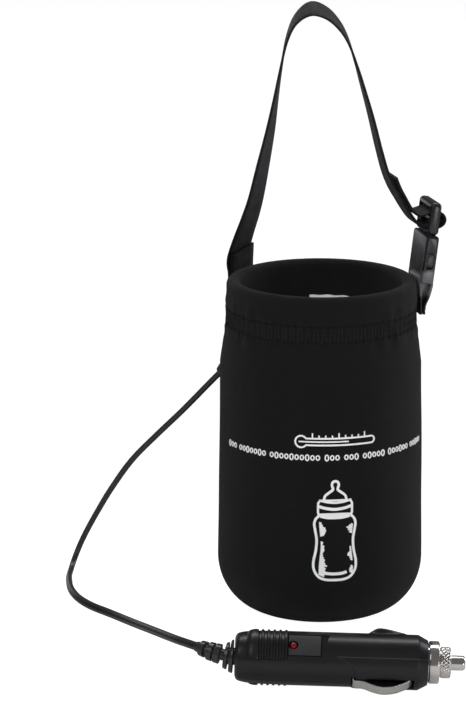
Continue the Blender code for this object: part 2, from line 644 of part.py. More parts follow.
def tip_and_fuse():
    """Centre contact and the glass fuse behind it, pushed forward by a coil spring."""
    dome = [(2.95 * cos(a), 87.4 + 2.2 * sin(a)) for a in arc(0, 70, 5)]
    tip = turned("centre_tip", [(0, 79.2), (3.9, 79.2), (3.9, 81.2), (2.95, 81.2), *dome, (0, 89.6)],
                 "nickel", PLUG, steps=18)
    front = [(0, 78.9), (2.6, 78.9), (2.6, 73.8), (2.35, 73.8), (2.35, 78.4), (0, 78.4)]
    rear = [(0, 58.9), (2.6, 58.9), (2.6, 64.0), (2.35, 64.0), (2.35, 59.4), (0, 59.4)]
    caps = [turned("fuse_cap_front", front, "nickel", PLUG, steps=18),
            turned("fuse_cap_rear", rear, "nickel", PLUG, steps=18)]
    tube = [(1.6, 59.8), (2.05, 59.8), (2.05, 78.0), (1.6, 78.0)]
    glass = turned("fuse_glass", tube, "glass", PLUG, steps=18)
    link = turned("fuse_wire", [(0, 59.8), (0.2, 59.8), (0.2, 78.0), (0, 78.0)], "spring", PLUG, steps=6)
    for item in (tip, *caps, glass, link):
        set_axis_point(item, PLUG @ Vector(TIP_BACK))


def fuse_spring():
    """Coil spring between the rear terminal and the fuse, ends ground flat by their small rise."""
    turns, per_turn, radius, thick = 6, 10, 2.3, 0.55
    low, high = 47.0, 58.2
    rings = []
    for k in range(turns * per_turn + 1):
        a = 2 * pi * k / per_turn
        height = low + (high - low) * k / (turns * per_turn)
        out = Vector((cos(a), sin(a), 0))
        centre = out * radius + Vector((0, 0, height))
        rings.append([PLUG @ (centre + (out * cos(b) + Vector((0, 0, 1)) * sin(b)) * thick / 2)
                      for b in arc(0, 288, 4)])
    loft("fuse_spring", rings, "spring")


def fuse_sleeve():
    """Insulating sleeve that carries the terminal, spring and fuse."""
    outline = [(1.5, 43.0), (7.5, 43.0), (7.5, 44.6), (4.9, 44.6), (4.9, 66.0), (3.4, 66.0), (3.4, 45.0),
               (1.5, 45.0)]
    turned("fuse_sleeve", outline, "plug", PLUG, steps=24)


def rear_terminal():
    """Riveted brass terminal behind the spring."""
    outline = [(0, 40.6), (1.1, 40.6), (1.1, 45.3), (3.1, 45.3), (3.1, 46.3), (0, 46.3)]
    turned("rear_terminal", outline, "brass", PLUG, steps=24)


def plug_wires():
    """Leads from the cord to the board, and from the board to both contacts."""
    side = plug_side(LED_SIDE)
    routes = {
        "plug_lead_positive": [(1.2, -1.4, 5.0), (1.6, -2.0, 10.0), (2.9, -3.0, 16.5), (2.95, -3.0, 19.0)],
        "plug_lead_negative": [(1.2, 1.4, 5.0), (1.6, 2.0, 10.0), (2.9, 3.0, 16.5), (2.95, 3.0, 19.0)],
        "tip_lead": [(2.95, -2.5, 35.0), (2.4, -2.0, 37.0), (1.0, -0.6, 38.6), (0.0, 0.0, 40.2)],
        "ground_lead": [(2.95, 3.4, 35.0), (2.4, 5.6, 38.0), (1.0, 7.0, 41.0), (0.0, 7.1, 42.4)],
    }
    for name, route in routes.items():
        key = "red_wire" if name in ("plug_lead_positive", "tip_lead") else "black_wire"
        wire(name, [side @ Vector(point) for point in route], 1.1, key, pieces=3)


def main():
    clear_scene()
    outer_shell()
    inner_lining()
    base_pad()
    collar()
    seam_stitching()
    heater_film()
    thermostat_and_leads()
    cord_grommet()
    care_label()
    strap_webbing()
    buckle_tab()
    buckle_female()
    buckle_male()
    buckle_arm("buckle_arm_front", 1)
    buckle_arm("buckle_arm_rear", -1)
    cord_lead()
    strain_relief()
    plug_shells()
    lamp()
    ground_contact()
    front_bushing()
    retaining_cap()
    tip_and_fuse()
    fuse_spring()
    fuse_sleeve()
    rear_terminal()
    plug_wires()


main()
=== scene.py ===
"""Looks for the car bottle warmer: knit-faced neoprene sleeve, buckled webbing handle, flat lead and plug.

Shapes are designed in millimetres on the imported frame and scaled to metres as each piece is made.
Z is up, the sleeve stands on the origin, and the viewer's side is -Y.
"""
import json
from math import asin, ceil, cos, degrees, exp, pi, radians, sin

import bmesh
import bpy
from mathutils import Matrix, Vector, noise

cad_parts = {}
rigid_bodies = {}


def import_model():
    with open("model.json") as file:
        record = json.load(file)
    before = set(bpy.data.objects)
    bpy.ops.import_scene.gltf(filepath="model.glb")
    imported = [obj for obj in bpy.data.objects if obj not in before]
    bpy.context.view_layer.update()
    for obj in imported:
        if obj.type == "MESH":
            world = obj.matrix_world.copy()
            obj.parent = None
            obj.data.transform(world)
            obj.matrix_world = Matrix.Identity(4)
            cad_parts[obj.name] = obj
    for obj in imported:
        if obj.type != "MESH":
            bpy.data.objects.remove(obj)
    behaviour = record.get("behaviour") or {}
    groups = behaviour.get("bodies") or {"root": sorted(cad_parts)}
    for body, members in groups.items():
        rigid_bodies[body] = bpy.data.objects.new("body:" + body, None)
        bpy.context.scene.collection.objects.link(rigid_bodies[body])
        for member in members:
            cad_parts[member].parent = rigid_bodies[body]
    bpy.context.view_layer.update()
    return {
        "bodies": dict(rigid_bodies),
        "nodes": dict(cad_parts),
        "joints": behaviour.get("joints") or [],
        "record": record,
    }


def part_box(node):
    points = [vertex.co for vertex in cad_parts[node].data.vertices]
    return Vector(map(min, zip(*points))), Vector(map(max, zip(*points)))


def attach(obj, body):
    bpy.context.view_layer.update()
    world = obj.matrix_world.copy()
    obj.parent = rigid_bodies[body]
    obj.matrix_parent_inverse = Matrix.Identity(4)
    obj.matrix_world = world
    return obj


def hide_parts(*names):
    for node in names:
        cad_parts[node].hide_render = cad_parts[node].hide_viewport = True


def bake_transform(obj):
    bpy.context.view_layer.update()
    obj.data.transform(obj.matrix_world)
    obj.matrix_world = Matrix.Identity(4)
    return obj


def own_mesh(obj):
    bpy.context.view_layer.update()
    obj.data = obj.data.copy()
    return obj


MM = 0.001
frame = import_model()


# ---- measures, from the frame where it holds them ----

def low_corner(node):
    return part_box(node)[0] / MM


def high_corner(node):
    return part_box(node)[1] / MM


SLEEVE_RADIUS = high_corner("outer_shell").y
CORNER_HEIGHT = 21.8
FLAT_RADIUS = 24.1
SHELL = 2.5
COLLAR_RADIUS = high_corner("collar").y
RIM_HEIGHT = high_corner("collar").z
RIM_ROUND = 2.9
COLLAR_INNER = COLLAR_RADIUS - 2 * RIM_ROUND
SEAM_LOW = low_corner("seam_stitching").z
SEAM_HIGH = high_corner("seam_stitching").z
SEAM_MIDDLE = (SEAM_LOW + SEAM_HIGH) / 2
SHELL_TOP = 124.9         # the shell's upper edge, under the collar's
STITCHES = 75             # round the sleeve
BACK_SEAM = 101.0         # angle of the sleeve's upright seam
CORD_ANGLE = 157.5
CORD_HEIGHT = 98.0

WEBBING = 15.0
WEB_THICK = 1.0
WEB_INNER = 40.75         # radius of the layer that lies against the collar, and of the one folded over it
WEB_OUTER = 42.15
STRAP_ANGLE = 143.0
BUCKLE_ANGLE = 13.6
BUCKLE_LEAN = 7.0
BUCKLE_RADIUS = 44.9
BUCKLE_HEIGHT = 157.0

PLUG_REAR = Vector((-35.6, -102.7, 12.3))
PLUG_YAW = 1.2
PLUG_PITCH = 1.4
BARREL = 10.5
LED_SIDE = 38.0
GROUND_SIDE = 128.0


# ---- making pieces ----

def running(points):
    """Distance along a line of points, at each point."""
    total = [0.0]
    for a, b in zip(points, points[1:]):
        total.append(total[-1] + (Vector(b) - Vector(a)).length)
    return total


def make(name, bm, finish, sharp=40.0):
    """Turn a bmesh in millimetres into a smooth-shaded object in metres; finish is a key of FINISHES."""
    bmesh.ops.remove_doubles(bm, verts=bm.verts, dist=1e-4)
    bmesh.ops.recalc_face_normals(bm, faces=bm.faces)
    bmesh.ops.scale(bm, vec=(MM, MM, MM), verts=bm.verts)
    mesh = bpy.data.meshes.new(name)
    bm.to_mesh(mesh)
    bm.free()
    mesh.shade_smooth()
    mesh.set_sharp_from_angle(angle=radians(sharp))
    mesh.materials.append(FINISHES[finish])
    made = bpy.data.objects.new(name, mesh)
    bpy.context.scene.collection.objects.link(made)
    return made


def place(piece, body, slot, *nodes):
    """Put a piece on its body and hide the CAD nodes that it stands for; slot is not used."""
    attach(piece, body)
    if nodes:
        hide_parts(*nodes)
    return piece


def add_rows(bm, rows, wrap=True, closed=False, caps=False):
    """Quads through rows of points, with a UV map in millimetres."""
    uv = bm.loops.layers.uv.get("millimetres") or bm.loops.layers.uv.new("millimetres")
    grid = [[bm.verts.new(point) for point in row] for row in rows]
    count = len(rows[0])
    middle = rows[len(rows) // 2]
    across = running([*middle, middle[0]])
    along = running([*[row[0] for row in rows], rows[0][0]])
    for i in range(len(rows) if closed else len(rows) - 1):
        n = (i + 1) % len(rows)
        for k in range(count if wrap else count - 1):
            j = (k + 1) % count
            face = bm.faces.new((grid[i][k], grid[i][j], grid[n][j], grid[n][k]))
            corners = ((k, i), (k + 1, i), (k + 1, i + 1), (k, i + 1))
            for loop, (a, b) in zip(face.loops, corners):
                loop[uv].uv = (across[a], along[b])
    if caps:
        bm.faces.new(list(reversed(grid[0])))
        bm.faces.new(grid[-1])


def skin(name, rows, finish, closed=False, caps=False, sharp=40.0):
    bm = bmesh.new()
    add_rows(bm, rows, closed=closed, caps=caps)
    return make(name, bm, finish, sharp)


def turns(steps):
    return [2 * pi * k / steps for k in range(steps)]


def ring_rows(outline, frame, steps, shaped=None):
    """Rows for an outline of (radius, height) turned about the frame's Z axis.

    shaped(row, radius, angle, height), where given, returns the radius at each place.
    """
    rows = []
    for i, (radius, height) in enumerate(outline):
        reach = [shaped(i, radius, a, height) if shaped else radius for a in turns(steps)]
        rows.append([frame @ Vector((r * cos(a), r * sin(a), height)) for r, a in zip(reach, turns(steps))])
    return rows


def turned(name, outline, finish, frame, steps):
    return skin(name, ring_rows(outline, frame, steps), finish, closed=True)


def block(name, low, high, finish, frame, bevel, segments):
    """Box between two corners in the frame, with rounded edges."""
    bm = bmesh.new()
    bmesh.ops.create_cube(bm, size=1.0)
    bmesh.ops.scale(bm, vec=Vector(high) - Vector(low), verts=bm.verts)
    bmesh.ops.translate(bm, vec=(Vector(high) + Vector(low)) / 2, verts=bm.verts)
    bmesh.ops.bevel(bm, geom=bm.edges[:], offset=bevel, segments=segments, profile=0.5, affect="EDGES")
    bmesh.ops.transform(bm, matrix=frame, verts=bm.verts)
    return make(name, bm, finish)


def prism(name, outline, low, high, finish, frame, round_off):
    """Flat outline of (x, z) from low to high along the frame's Y axis, its rims rounded off."""
    rows = []
    for y, inset in ((low, round_off), (low + round_off * 0.3, round_off * 0.3), (low + round_off, 0.0),
                     (high - round_off, 0.0), (high - round_off * 0.3, round_off * 0.3), (high, round_off)):
        row = []
        for k, point in enumerate(outline):
            point = Vector(point)
            before, after = Vector(outline[k - 1]), Vector(outline[(k + 1) % len(outline)])
            ahead = (after - before).normalized()
            inward = Vector((-ahead.y, ahead.x))
            moved = point + inward * inset
            row.append(frame @ Vector((moved.x, y, moved.y)))
        rows.append(row)
    return skin(name, rows, finish, caps=True)


def combine(target, others, operation, bevel=0.0):
    """Apply a Boolean with each of the other objects and use them up."""
    for other in others:
        modifier = target.modifiers.new(operation.title(), "BOOLEAN")
        modifier.operation = operation
        modifier.solver = "EXACT"
        modifier.object = other
        settle(target)
        bpy.data.objects.remove(other, do_unlink=True)
    if bevel:
        modifier = target.modifiers.new("Edges", "BEVEL")
        modifier.width = bevel * MM
        modifier.segments = 2
        modifier.limit_method = "ANGLE"
        modifier.angle_limit = radians(38)
        settle(target)
    target.data.shade_smooth()
    target.data.set_sharp_from_angle(angle=radians(42.0))


def settle(target):
    """Apply the object's modifiers to its mesh."""
    view = bpy.context.evaluated_depsgraph_get()
    view.update()
    mesh = bpy.data.meshes.new_from_object(target.evaluated_get(view))
    target.modifiers.clear()
    target.data = mesh


# ---- curves ----

def through(points, pieces):
    """Smooth curve through the points, each interval cut into pieces."""
    points = [Vector(point) for point in points]
    ends = [2 * points[0] - points[1], *points, 2 * points[-1] - points[-2]]
    line = []
    for i in range(1, len(points)):
        a, b, c, d = ends[i - 1:i + 3]
        for k in range(pieces):
            t = k / pieces
            line.append(0.5 * (2 * b + (c - a) * t + (2 * a - 5 * b + 4 * c - d) * t ** 2
                               + (3 * b - a - 3 * c + d) * t ** 3))
    line.append(points[-1])
    return line


def headings(line):
    """Direction of a line at each of its points."""
    return [(after - before).normalized() for before, after in zip([line[0], *line], [*line[1:], line[-1]])]


def tube_rows(line, radius, sides=6):
    """Rings of a thread along a line, its ends drawn in."""
    rows = []
    side = None
    for i, (point, ahead) in enumerate(zip(line, headings(line))):
        if side is None:
            side = ahead.orthogonal().normalized()
        side = (side - ahead * side.dot(ahead)).normalized()
        up = ahead.cross(side)
        size = radius * (0.35 if i in (0, len(line) - 1) else 1.0)
        rows.append([point + (side * cos(a) + up * sin(a)) * size for a in turns(sides)])
    return rows


def threads(name, lines, radius, finish, sides=6):
    """One object from many stitches."""
    bm = bmesh.new()
    for line in lines:
        add_rows(bm, tube_rows(line, radius, sides), caps=True)
    return make(name, bm, finish, sharp=80.0)


def band_rows(stations, width, thick, pieces, round_off=0.35):
    """Rings of a flat band: stations are (point, direction across the band)."""
    line = through([point for point, across in stations], pieces)
    across = through([across for point, across in stations], pieces)
    half, deep = width / 2, thick / 2
    cut = min(round_off, deep * 0.8)
    flat = [cut - half, -half * 0.62, -half * 0.3, 0, half * 0.3, half * 0.62, half - cut]
    section = [(-half, cut - deep), *((x, -deep) for x in flat), (half, cut - deep)]
    section += [(-x, -y) for x, y in section]
    rows = []
    for point, ahead, side in zip(line, headings(line), across):
        side = (side - ahead * side.dot(ahead)).normalized()
        face = ahead.cross(side).normalized()
        rows.append([point + side * x + face * y for x, y in section])
    return rows


def arc(low, high, steps):
    return [radians(low + (high - low) * k / steps) for k in range(steps + 1)]


def level(points, place_at):
    """Height at a place on straight lines between points of (place, height), from the first place on."""
    for (a, start), (b, end) in zip(points, points[1:]):
        if place_at <= b:
            return start + (end - start) * (place_at - a) / (b - a)
    return points[-1][1]


def ease(value):
    """0 to 1 with soft ends."""
    value = min(max(value, 0.0), 1.0)
    return value * value * (3 - 2 * value)


def bell(value, width):
    return exp(-(value / width) ** 2)


def grain(point, scale, seed=0.0):
    """Smooth seeded noise from -1 to 1."""
    return noise.noise(Vector(point) * scale + Vector((seed, seed * 1.7, seed * 0.3)))


# ---- frames ----

def at_angle(angle):
    return Matrix.Rotation(radians(angle), 4, "Z")


def radial(angle, radius, height):
    return at_angle(angle) @ Vector((radius, 0.0, height))


def buckle_frame():
    """X across the buckle towards the viewer, Y out from the sleeve, Z along the pull."""
    out = Vector((cos(radians(BUCKLE_ANGLE)), sin(radians(BUCKLE_ANGLE)), 0.0))
    pull = Vector((0, 0, 1)) * cos(radians(BUCKLE_LEAN)) + out * sin(radians(BUCKLE_LEAN))
    across = Vector((out.y, -out.x, 0.0))
    found = Matrix((across, pull.cross(across), pull)).transposed().to_4x4()
    found.translation = out * BUCKLE_RADIUS + Vector((0, 0, BUCKLE_HEIGHT))
    return found


def plug_frame():
    """Z along the plug from its rear to its tip, X on its upper side, Y towards the viewer."""
    yaw, pitch = radians(PLUG_YAW), radians(PLUG_PITCH)
    along = Vector((cos(yaw) * cos(pitch), -sin(yaw) * cos(pitch), -sin(pitch)))
    upper = Vector((sin(pitch) * cos(yaw), -sin(pitch) * sin(yaw), cos(pitch)))
    found = Matrix((upper, along.cross(upper), along)).transposed().to_4x4()
    found.translation = PLUG_REAR
    return found


BUCKLE = buckle_frame()
PLUG = plug_frame()


def plug_side(angle):
    """Plug frame turned so that its X axis points to a side."""
    return PLUG @ Matrix.Rotation(radians(angle), 4, "Z")


# ---- finishes ----

def grey(level):
    return (level,) * 3


class Finish:
    """A procedural material, built from short calls on its node tree."""

    def __init__(self, name, colour, roughness, **sockets):
        self.material = bpy.data.materials.new(name)
        self.material.use_nodes = True
        self.tree = self.material.node_tree
        self.shader = self.tree.nodes["Principled BSDF"]
        self.put(self.shader.inputs["Base Color"], (*colour, 1.0))
        self.put(self.shader.inputs["Roughness"], roughness)
        self.material.diffuse_color = (*colour, 1.0)
        for key, value in sockets.items():
            self.put(self.shader.inputs[key.replace("_", " ")], value)

    def put(self, socket, value):
        if isinstance(value, bpy.types.NodeSocket):
            self.tree.links.new(value, socket)
        else:
            socket.default_value = value

    def node(self, kind, *values, **settings):
        """A node with its first inputs filled in order; None leaves one as it is."""
        made = self.tree.nodes.new("ShaderNode" + kind)
        for key, value in settings.items():
            setattr(made, key, value)
        for socket, value in zip(made.inputs, values):
            if value is not None:
                self.put(socket, value)
        return made

    def maths(self, operation, a, b=0.0):
        return self.node("Math", a, b, operation=operation).outputs[0]

    def times(self, a, b):
        return self.maths("MULTIPLY", a, b)

    def plus(self, a, b):
        return self.maths("ADD", a, b)

    def surface(self):
        """(across, along) on the piece, in millimetres."""
        split = self.node("SeparateXYZ", self.node("UVMap", uv_map="millimetres").outputs[0])
        return split.outputs[0], split.outputs[1]

    def place(self, axis):
        """Distance along one of the object's axes, in metres."""
        return self.node("SeparateXYZ", self.node("TexCoord").outputs["Object"]).outputs[axis]

    def spot(self, scale):
        """Place on the object, with one unit for every 1/scale metres."""
        found = self.node("TexCoord").outputs["Object"]
        return self.node("VectorMath", found, (scale,) * 3, operation="MULTIPLY").outputs[0]

    def cloud(self, size, detail=3.0, rough=0.5):
        """Noise from 0 to 1 with blotches of about size millimetres."""
        made = self.node("TexNoise")
        self.put(made.inputs["Vector"], self.spot(1 / (size * MM)))
        self.put(made.inputs["Scale"], 1.0)
        self.put(made.inputs["Detail"], detail)
        self.put(made.inputs["Roughness"], rough)
        return made.outputs[0]

    def wave(self, value, pitch):
        """Cosine of a distance in millimetres, from 0 to 1."""
        turn = self.maths("COSINE", self.times(value, 2 * pi / pitch))
        return self.plus(self.times(turn, 0.5), 0.5)

    def colour(self, factor, dark, light):
        mix = self.node("Mix", data_type="RGBA")
        sockets = {socket.identifier: socket for socket in mix.inputs}
        self.put(sockets["Factor_Float"], factor)
        self.put(sockets["A_Color"], (*dark, 1.0))
        self.put(sockets["B_Color"], (*light, 1.0))
        result = next(socket for socket in mix.outputs if socket.identifier == "Result_Color")
        self.put(self.shader.inputs["Base Color"], result)

    def roughness(self, factor, low, high):
        spread = self.node("MapRange", factor, 0.0, 1.0, low, high)
        self.put(self.shader.inputs["Roughness"], spread.outputs[0])

    def between(self, low, high, blur=1.5):
        """1 between two heights on the object, in millimetres, and 0 away from them."""
        height = self.maths("DIVIDE", self.place(2), MM)
        rise = self.node("MapRange", height, low, low + blur)
        fall = self.node("MapRange", height, high - blur, high)
        return self.maths("SUBTRACT", rise.outputs[0], fall.outputs[0])

    def relief(self, *layers):
        """Bump from (height from 0 to 1, depth in millimetres) layers."""
        normal = None
        for height, depth in layers:
            bump = self.node("Bump")
            self.put(bump.inputs["Strength"], 1.0)
            self.put(bump.inputs["Distance"], depth * MM)
            self.put(bump.inputs["Height"], height)
            if normal:
                self.put(bump.inputs["Normal"], normal)
            normal = bump.outputs[0]
        self.put(self.shader.inputs["Normal"], normal)


def knit(made, wale, course):
    """Height of a jersey knit: columns of V-shaped loops."""
    across, along = made.surface()
    column = made.maths("FRACT", made.maths("DIVIDE", across, wale))
    slant = made.maths("ABSOLUTE", made.maths("SUBTRACT", column, 0.5))
    loops = made.wave(made.plus(along, made.times(slant, course * 1.2)), course)
    ridge = made.maths("SINE", made.times(made.maths("FRACT", made.times(column, 2.0)), pi))
    return made.times(loops, ridge)


def neoprene():
    made = Finish("neoprene_jersey", (0.0085, 0.0085, 0.0088), 0.85, Specular_IOR_Level=0.12,
                  Sheen_Weight=0.05, Sheen_Roughness=0.45)
    loops = knit(made, 0.72, 0.6)
    patch = made.cloud(26.0)
    shade = made.plus(made.times(loops, 0.35), made.times(patch, 0.65))
    made.colour(shade, (0.0062, 0.0062, 0.0066), (0.0118, 0.0118, 0.0122))
    made.roughness(patch, 0.78, 0.92)
    made.relief((loops, 0.10), (made.cloud(3.5), 0.10), (made.cloud(19.0, 2.0), 0.5))
    return made.material


def lining_cloth():
    made = Finish("lining_tricot", (0.008, 0.006, 0.005), 0.9, Specular_IOR_Level=0.04)
    loops = knit(made, 0.9, 0.7)
    made.colour(made.times(loops, made.cloud(14.0)), (0.004, 0.0035, 0.003), (0.014, 0.0105, 0.0095))
    made.relief((loops, 0.12), (made.cloud(6.0), 0.3))
    return made.material


def webbing():
    """Herringbone webbing with painted shade, darker and duller near the sleeve: ribs crossed by picks that
    lean either way.
    """
    dark, light = (0.0012, 0.0012, 0.0013), (0.0075, 0.0075, 0.0079)
    made = Finish("polyester_webbing", light, 0.55, Specular_IOR_Level=0.3, Sheen_Weight=0.05,
                  Sheen_Roughness=0.4)
    across, along = made.surface()
    column = made.maths("DIVIDE", across, 2.5)
    lean = made.maths("ABSOLUTE", made.maths("SUBTRACT", made.maths("FRACT", column), 0.5))
    picks = made.wave(made.plus(along, made.times(lean, 1.9)), 0.78)
    warp = made.wave(across, 0.625)
    weave = made.plus(made.times(picks, 0.7), made.times(warp, 0.3))
    # painted shade: from 220 mm down to 145 mm the strap's colour darkens to near black, standing in for the
    # shade on its lower part; it is made rougher there as well
    painted_shade_fade = made.between(145.0, 400.0, 75.0)
    made.colour(made.times(painted_shade_fade, made.plus(weave, 0.7)), dark, light)
    made.roughness(made.plus(made.cloud(4.0), painted_shade_fade), 0.85, 0.40)
    made.relief((weave, 0.16), (made.cloud(1.2), 0.05))
    return made.material


def sewing_thread(name, dark, light):
    made = Finish(name, light, 0.7, Specular_IOR_Level=0.15)
    twist = made.cloud(0.25, 1.0)
    made.colour(twist, dark, light)
    made.relief((twist, 0.06))
    return made.material


def label_tape():
    made = Finish("label_tape", grey(0.8), 0.75, Specular_IOR_Level=0.3)
    across, along = made.surface()
    weave = made.times(made.wave(across, 0.5), made.wave(along, 0.5))
    made.colour(weave, (0.70, 0.70, 0.69), grey(0.86))
    made.relief((weave, 0.04))
    return made.material


def print_ink():
    made = Finish("print_ink", grey(0.8), 0.6, Specular_IOR_Level=0.3)
    grainy = made.cloud(0.7, 4.0, 0.7)
    made.colour(grainy, grey(0.80), grey(0.97))
    made.relief((grainy, 0.05))
    return made.material


def moulded(name, dark, light, rough, specular=0.35, texture=0.35, depth=0.012):
    """Moulded plastic: fine spark-eroded grain and slightly uneven gloss."""
    made = Finish(name, light, rough[0], Specular_IOR_Level=specular)
    fine = made.cloud(texture, 2.0)
    wide = made.cloud(9.0, 3.0)
    made.colour(wide, dark, light)
    made.roughness(wide, *rough)
    made.relief((fine, depth), (wide, 0.03))
    return made.material


def metal(name, colour, rough, brushed=None):
    """Plated metal with faint scratches; brushed is the pitch of the brush lines along the piece."""
    made = Finish(name, colour, rough, Metallic=1.0)
    haze = made.cloud(2.2, 4.0)
    made.colour(haze, tuple(0.88 * c for c in colour), colour)
    if brushed:
        across, along = made.surface()
        lines = made.node("TexNoise")
        made.put(lines.inputs["Vector"], made.node("CombineXYZ", made.maths("DIVIDE", across, brushed),
                                                   made.maths("DIVIDE", along, brushed * 40)).outputs[0])
        made.put(lines.inputs["Scale"], 1.0)
        made.roughness(lines.outputs[0], rough, rough + 0.2)
        made.relief((lines.outputs[0], 0.006))
    else:
        made.roughness(haze, rough, rough + 0.1)
        made.relief((made.cloud(0.8, 3.0), 0.003))
    return made.material


def satin_with_painted_highlight(name, dark, light):
    """Plastic or webbing, dark and satiny, with a painted highlight: brighter at the height of the sleeve's
    rim.
    """
    made = Finish(name, dark, 0.3, Specular_IOR_Level=0.7)
    # painted highlight: a lighter band from about 132 to 141.5 mm up, standing in for the light caught by the
    # buckle's lower end and the tab
    painted_highlight_band = made.between(130.5, 143.0)
    made.colour(painted_highlight_band, dark, light)
    made.roughness(made.cloud(5.0), 0.22, 0.34)
    made.relief((made.cloud(0.5, 2.0), 0.012))
    return made.material


def clear(name, colour, rough, transmission):
    made = Finish(name, colour, rough, Transmission_Weight=transmission, IOR=1.5)
    made.relief((made.cloud(1.5), 0.004))
    return made.material


def wire_enamel(name, dark, light):
    return moulded(name, dark, light, (0.35, 0.5), 0.5, 0.4)


FINISHES = {
    "neoprene": neoprene(),
    "lining": lining_cloth(),
    "webbing": webbing(),
    # tab: dark satin webbing with a painted highlight band at the height of the sleeve's rim
    "tab": satin_with_painted_highlight("satin_webbing_painted_highlight", (0.010, 0.010, 0.0105), (0.13, 0.13, 0.135)),
    # thread colours: both threads are near black, partly their own colour; the needle thread is darker than
    # the cloth as painted shade in the drawn-in stitch pockets, and the looper lighter as painted highlight
    # on the raised loops
    "thread": sewing_thread("sewing_thread", grey(0.003), grey(0.008)),
    "looper": sewing_thread("looper_thread", grey(0.008), grey(0.024)),
    "label": label_tape(),
    "ink": print_ink(),
    "buckle": moulded("buckle_acetal", (0.006, 0.006, 0.007), (0.010, 0.010, 0.011), (0.20, 0.32), 0.7),
    # socket: dark satin plastic with a painted highlight band at the height of the sleeve's rim
    "socket": satin_with_painted_highlight("buckle_satin_painted_highlight", (0.008, 0.008, 0.009), (0.10, 0.10, 0.105)),
    # latch arms: the buckle's acetal coloured several times lighter, as painted highlight on their thumb pads
    "latch": moulded("latch_acetal_painted_highlight", (0.03, 0.03, 0.031), (0.05, 0.05, 0.052), (0.22, 0.34), 0.7),
    "jacket": moulded("lead_jacket", grey(0.010), grey(0.022), (0.24, 0.36), 0.8, 0.6),
    "plug": moulded("plug_moulding", (0.006, 0.006, 0.0065), (0.010, 0.010, 0.011), (0.26, 0.36), 0.45),
    "panel": moulded("panel_plate", (0.020, 0.020, 0.021), (0.026, 0.026, 0.027), (0.42, 0.5), 0.5, 0.25,
                     0.02),
    "nickel": metal("bright_nickel", (0.93, 0.89, 0.85), 0.13),
    "brushed": metal("brushed_nickel", (0.92, 0.91, 0.88), 0.24, brushed=0.12),
    "brass": metal("brass", (0.78, 0.58, 0.28), 0.28),
    "spring": metal("spring_steel", grey(0.60), 0.25),
    "lamp": clear("lamp_red", (0.20, 0.006, 0.010), 0.05, 0.2),
    "glass": clear("fuse_glass", (0.95, 0.97, 0.97), 0.02, 1.0),
    "board": moulded("circuit_board", (0.01, 0.07, 0.02), (0.02, 0.12, 0.04), (0.3, 0.5), 0.5, 0.9, 0.05),
    "ceramic": moulded("ceramic_body", (0.42, 0.29, 0.16), (0.52, 0.37, 0.22), (0.45, 0.6), 0.4),
    "red_wire": wire_enamel("red_insulation", (0.30, 0.008, 0.008), (0.42, 0.012, 0.012)),
    "black_wire": wire_enamel("black_insulation", grey(0.010), grey(0.018)),
    "foam": moulded("open_foam", grey(0.06), grey(0.11), (0.85, 0.95), 0.2, 0.8, 0.4),
    "film": moulded("heating_film", (0.40, 0.16, 0.03), (0.58, 0.25, 0.06), (0.3, 0.4), 0.5, 3.0, 0.05),
}

# what the CAD nodes that stay visible are made of
NODE_FINISHES = {
    "foam": ["base_pad"], "film": ["heater_film"], "ceramic": ["thermostat", "led_resistor"],
    "red_wire": ["heater_lead_live", "plug_lead_positive", "tip_lead"],
    "black_wire": ["heater_lead_neutral", "plug_lead_negative", "ground_lead"],
    "board": ["led_board"], "nickel": ["fuse_cap_front", "fuse_cap_rear"], "glass": ["fuse_glass"],
    "spring": ["fuse_wire"], "plug": ["fuse_sleeve"], "brass": ["rear_terminal"],
}


def finish_inner_nodes():
    for key, names in NODE_FINISHES.items():
        for name in names:
            for used in frame["nodes"][name].material_slots:
                used.material = FINISHES[key]


# ---- sleeve ----

def side_radius(height):
    """Outer radius of the sleeve above its rounded base, from the corner up to the seam."""
    levels = [(42.6, 21.8), (42.5, 34.0), (42.2, 62.0), (41.7, 89.5), (41.6, 105.0), (40.6, 112.6),
              (39.7, 117.7), (39.15, 122.5), (39.1, SHELL_TOP)]
    for (r0, z0), (r1, z1) in zip(levels, levels[1:]):
        if height <= z1:
            t = (height - z0) / (z1 - z0)
            return r0 + (r1 - r0) * (t if z1 < 100 else ease(t) * 0.35 + t * 0.65)
    return levels[-1][0]


def pucker(angle, height):
    """How far the cloth stands out near the seam: drawn in at each stitch, wavy beside it."""
    reach = height - SEAM_MIDDLE
    if abs(reach) > 16:
        return 0.0
    round_trip = (cos(angle) * 39, sin(angle) * 39, height * 0.35)
    stitch = 0.5 + 0.5 * cos(STITCHES * angle + 1.2 * grain(round_trip, 0.08))
    drawn = -0.45 * stitch * (bell(abs(reach) - 3.2, 1.2) + 0.3 * bell(reach, 2.0))
    wavy = 0.7 * grain(round_trip, 0.21, 4.0) * bell(abs(reach) - 4.5, 4.5)
    roll = 0.30 * bell(abs(reach) - 5.8, 2.0)
    return drawn + wavy + roll


def upright_seam(angle, height):
    """Shallow groove of the upright seam at the back."""
    turn = (degrees(angle) - BACK_SEAM + 180) % 360 - 180
    return -0.45 * bell(turn * 0.73, 0.7) * ease((height - 14) / 12)


def slack(angle, height):
    """Broad, barely visible unevenness of the soft sleeve."""
    point = (cos(angle) * 42, sin(angle) * 42, height)
    return 0.32 * grain(point, 0.028, 9.0) * ease(height / 40)


CLOTH_STEPS = STITCHES * 4


def cloth(name, outline, outer, node):
    """Closed piece of the sleeve's cloth; outer says, by row, how much of the surface waves it takes."""
    def shaped(row, radius, a, height):
        return radius + outer[row] * (pucker(a, height) + upright_seam(a, height) + slack(a, height))

    rows = ring_rows(outline, Matrix(), CLOTH_STEPS, shaped)
    made = skin(name, rows, "neoprene", closed=True, sharp=75.0)
    place(made, "warmer", "neoprene", node)


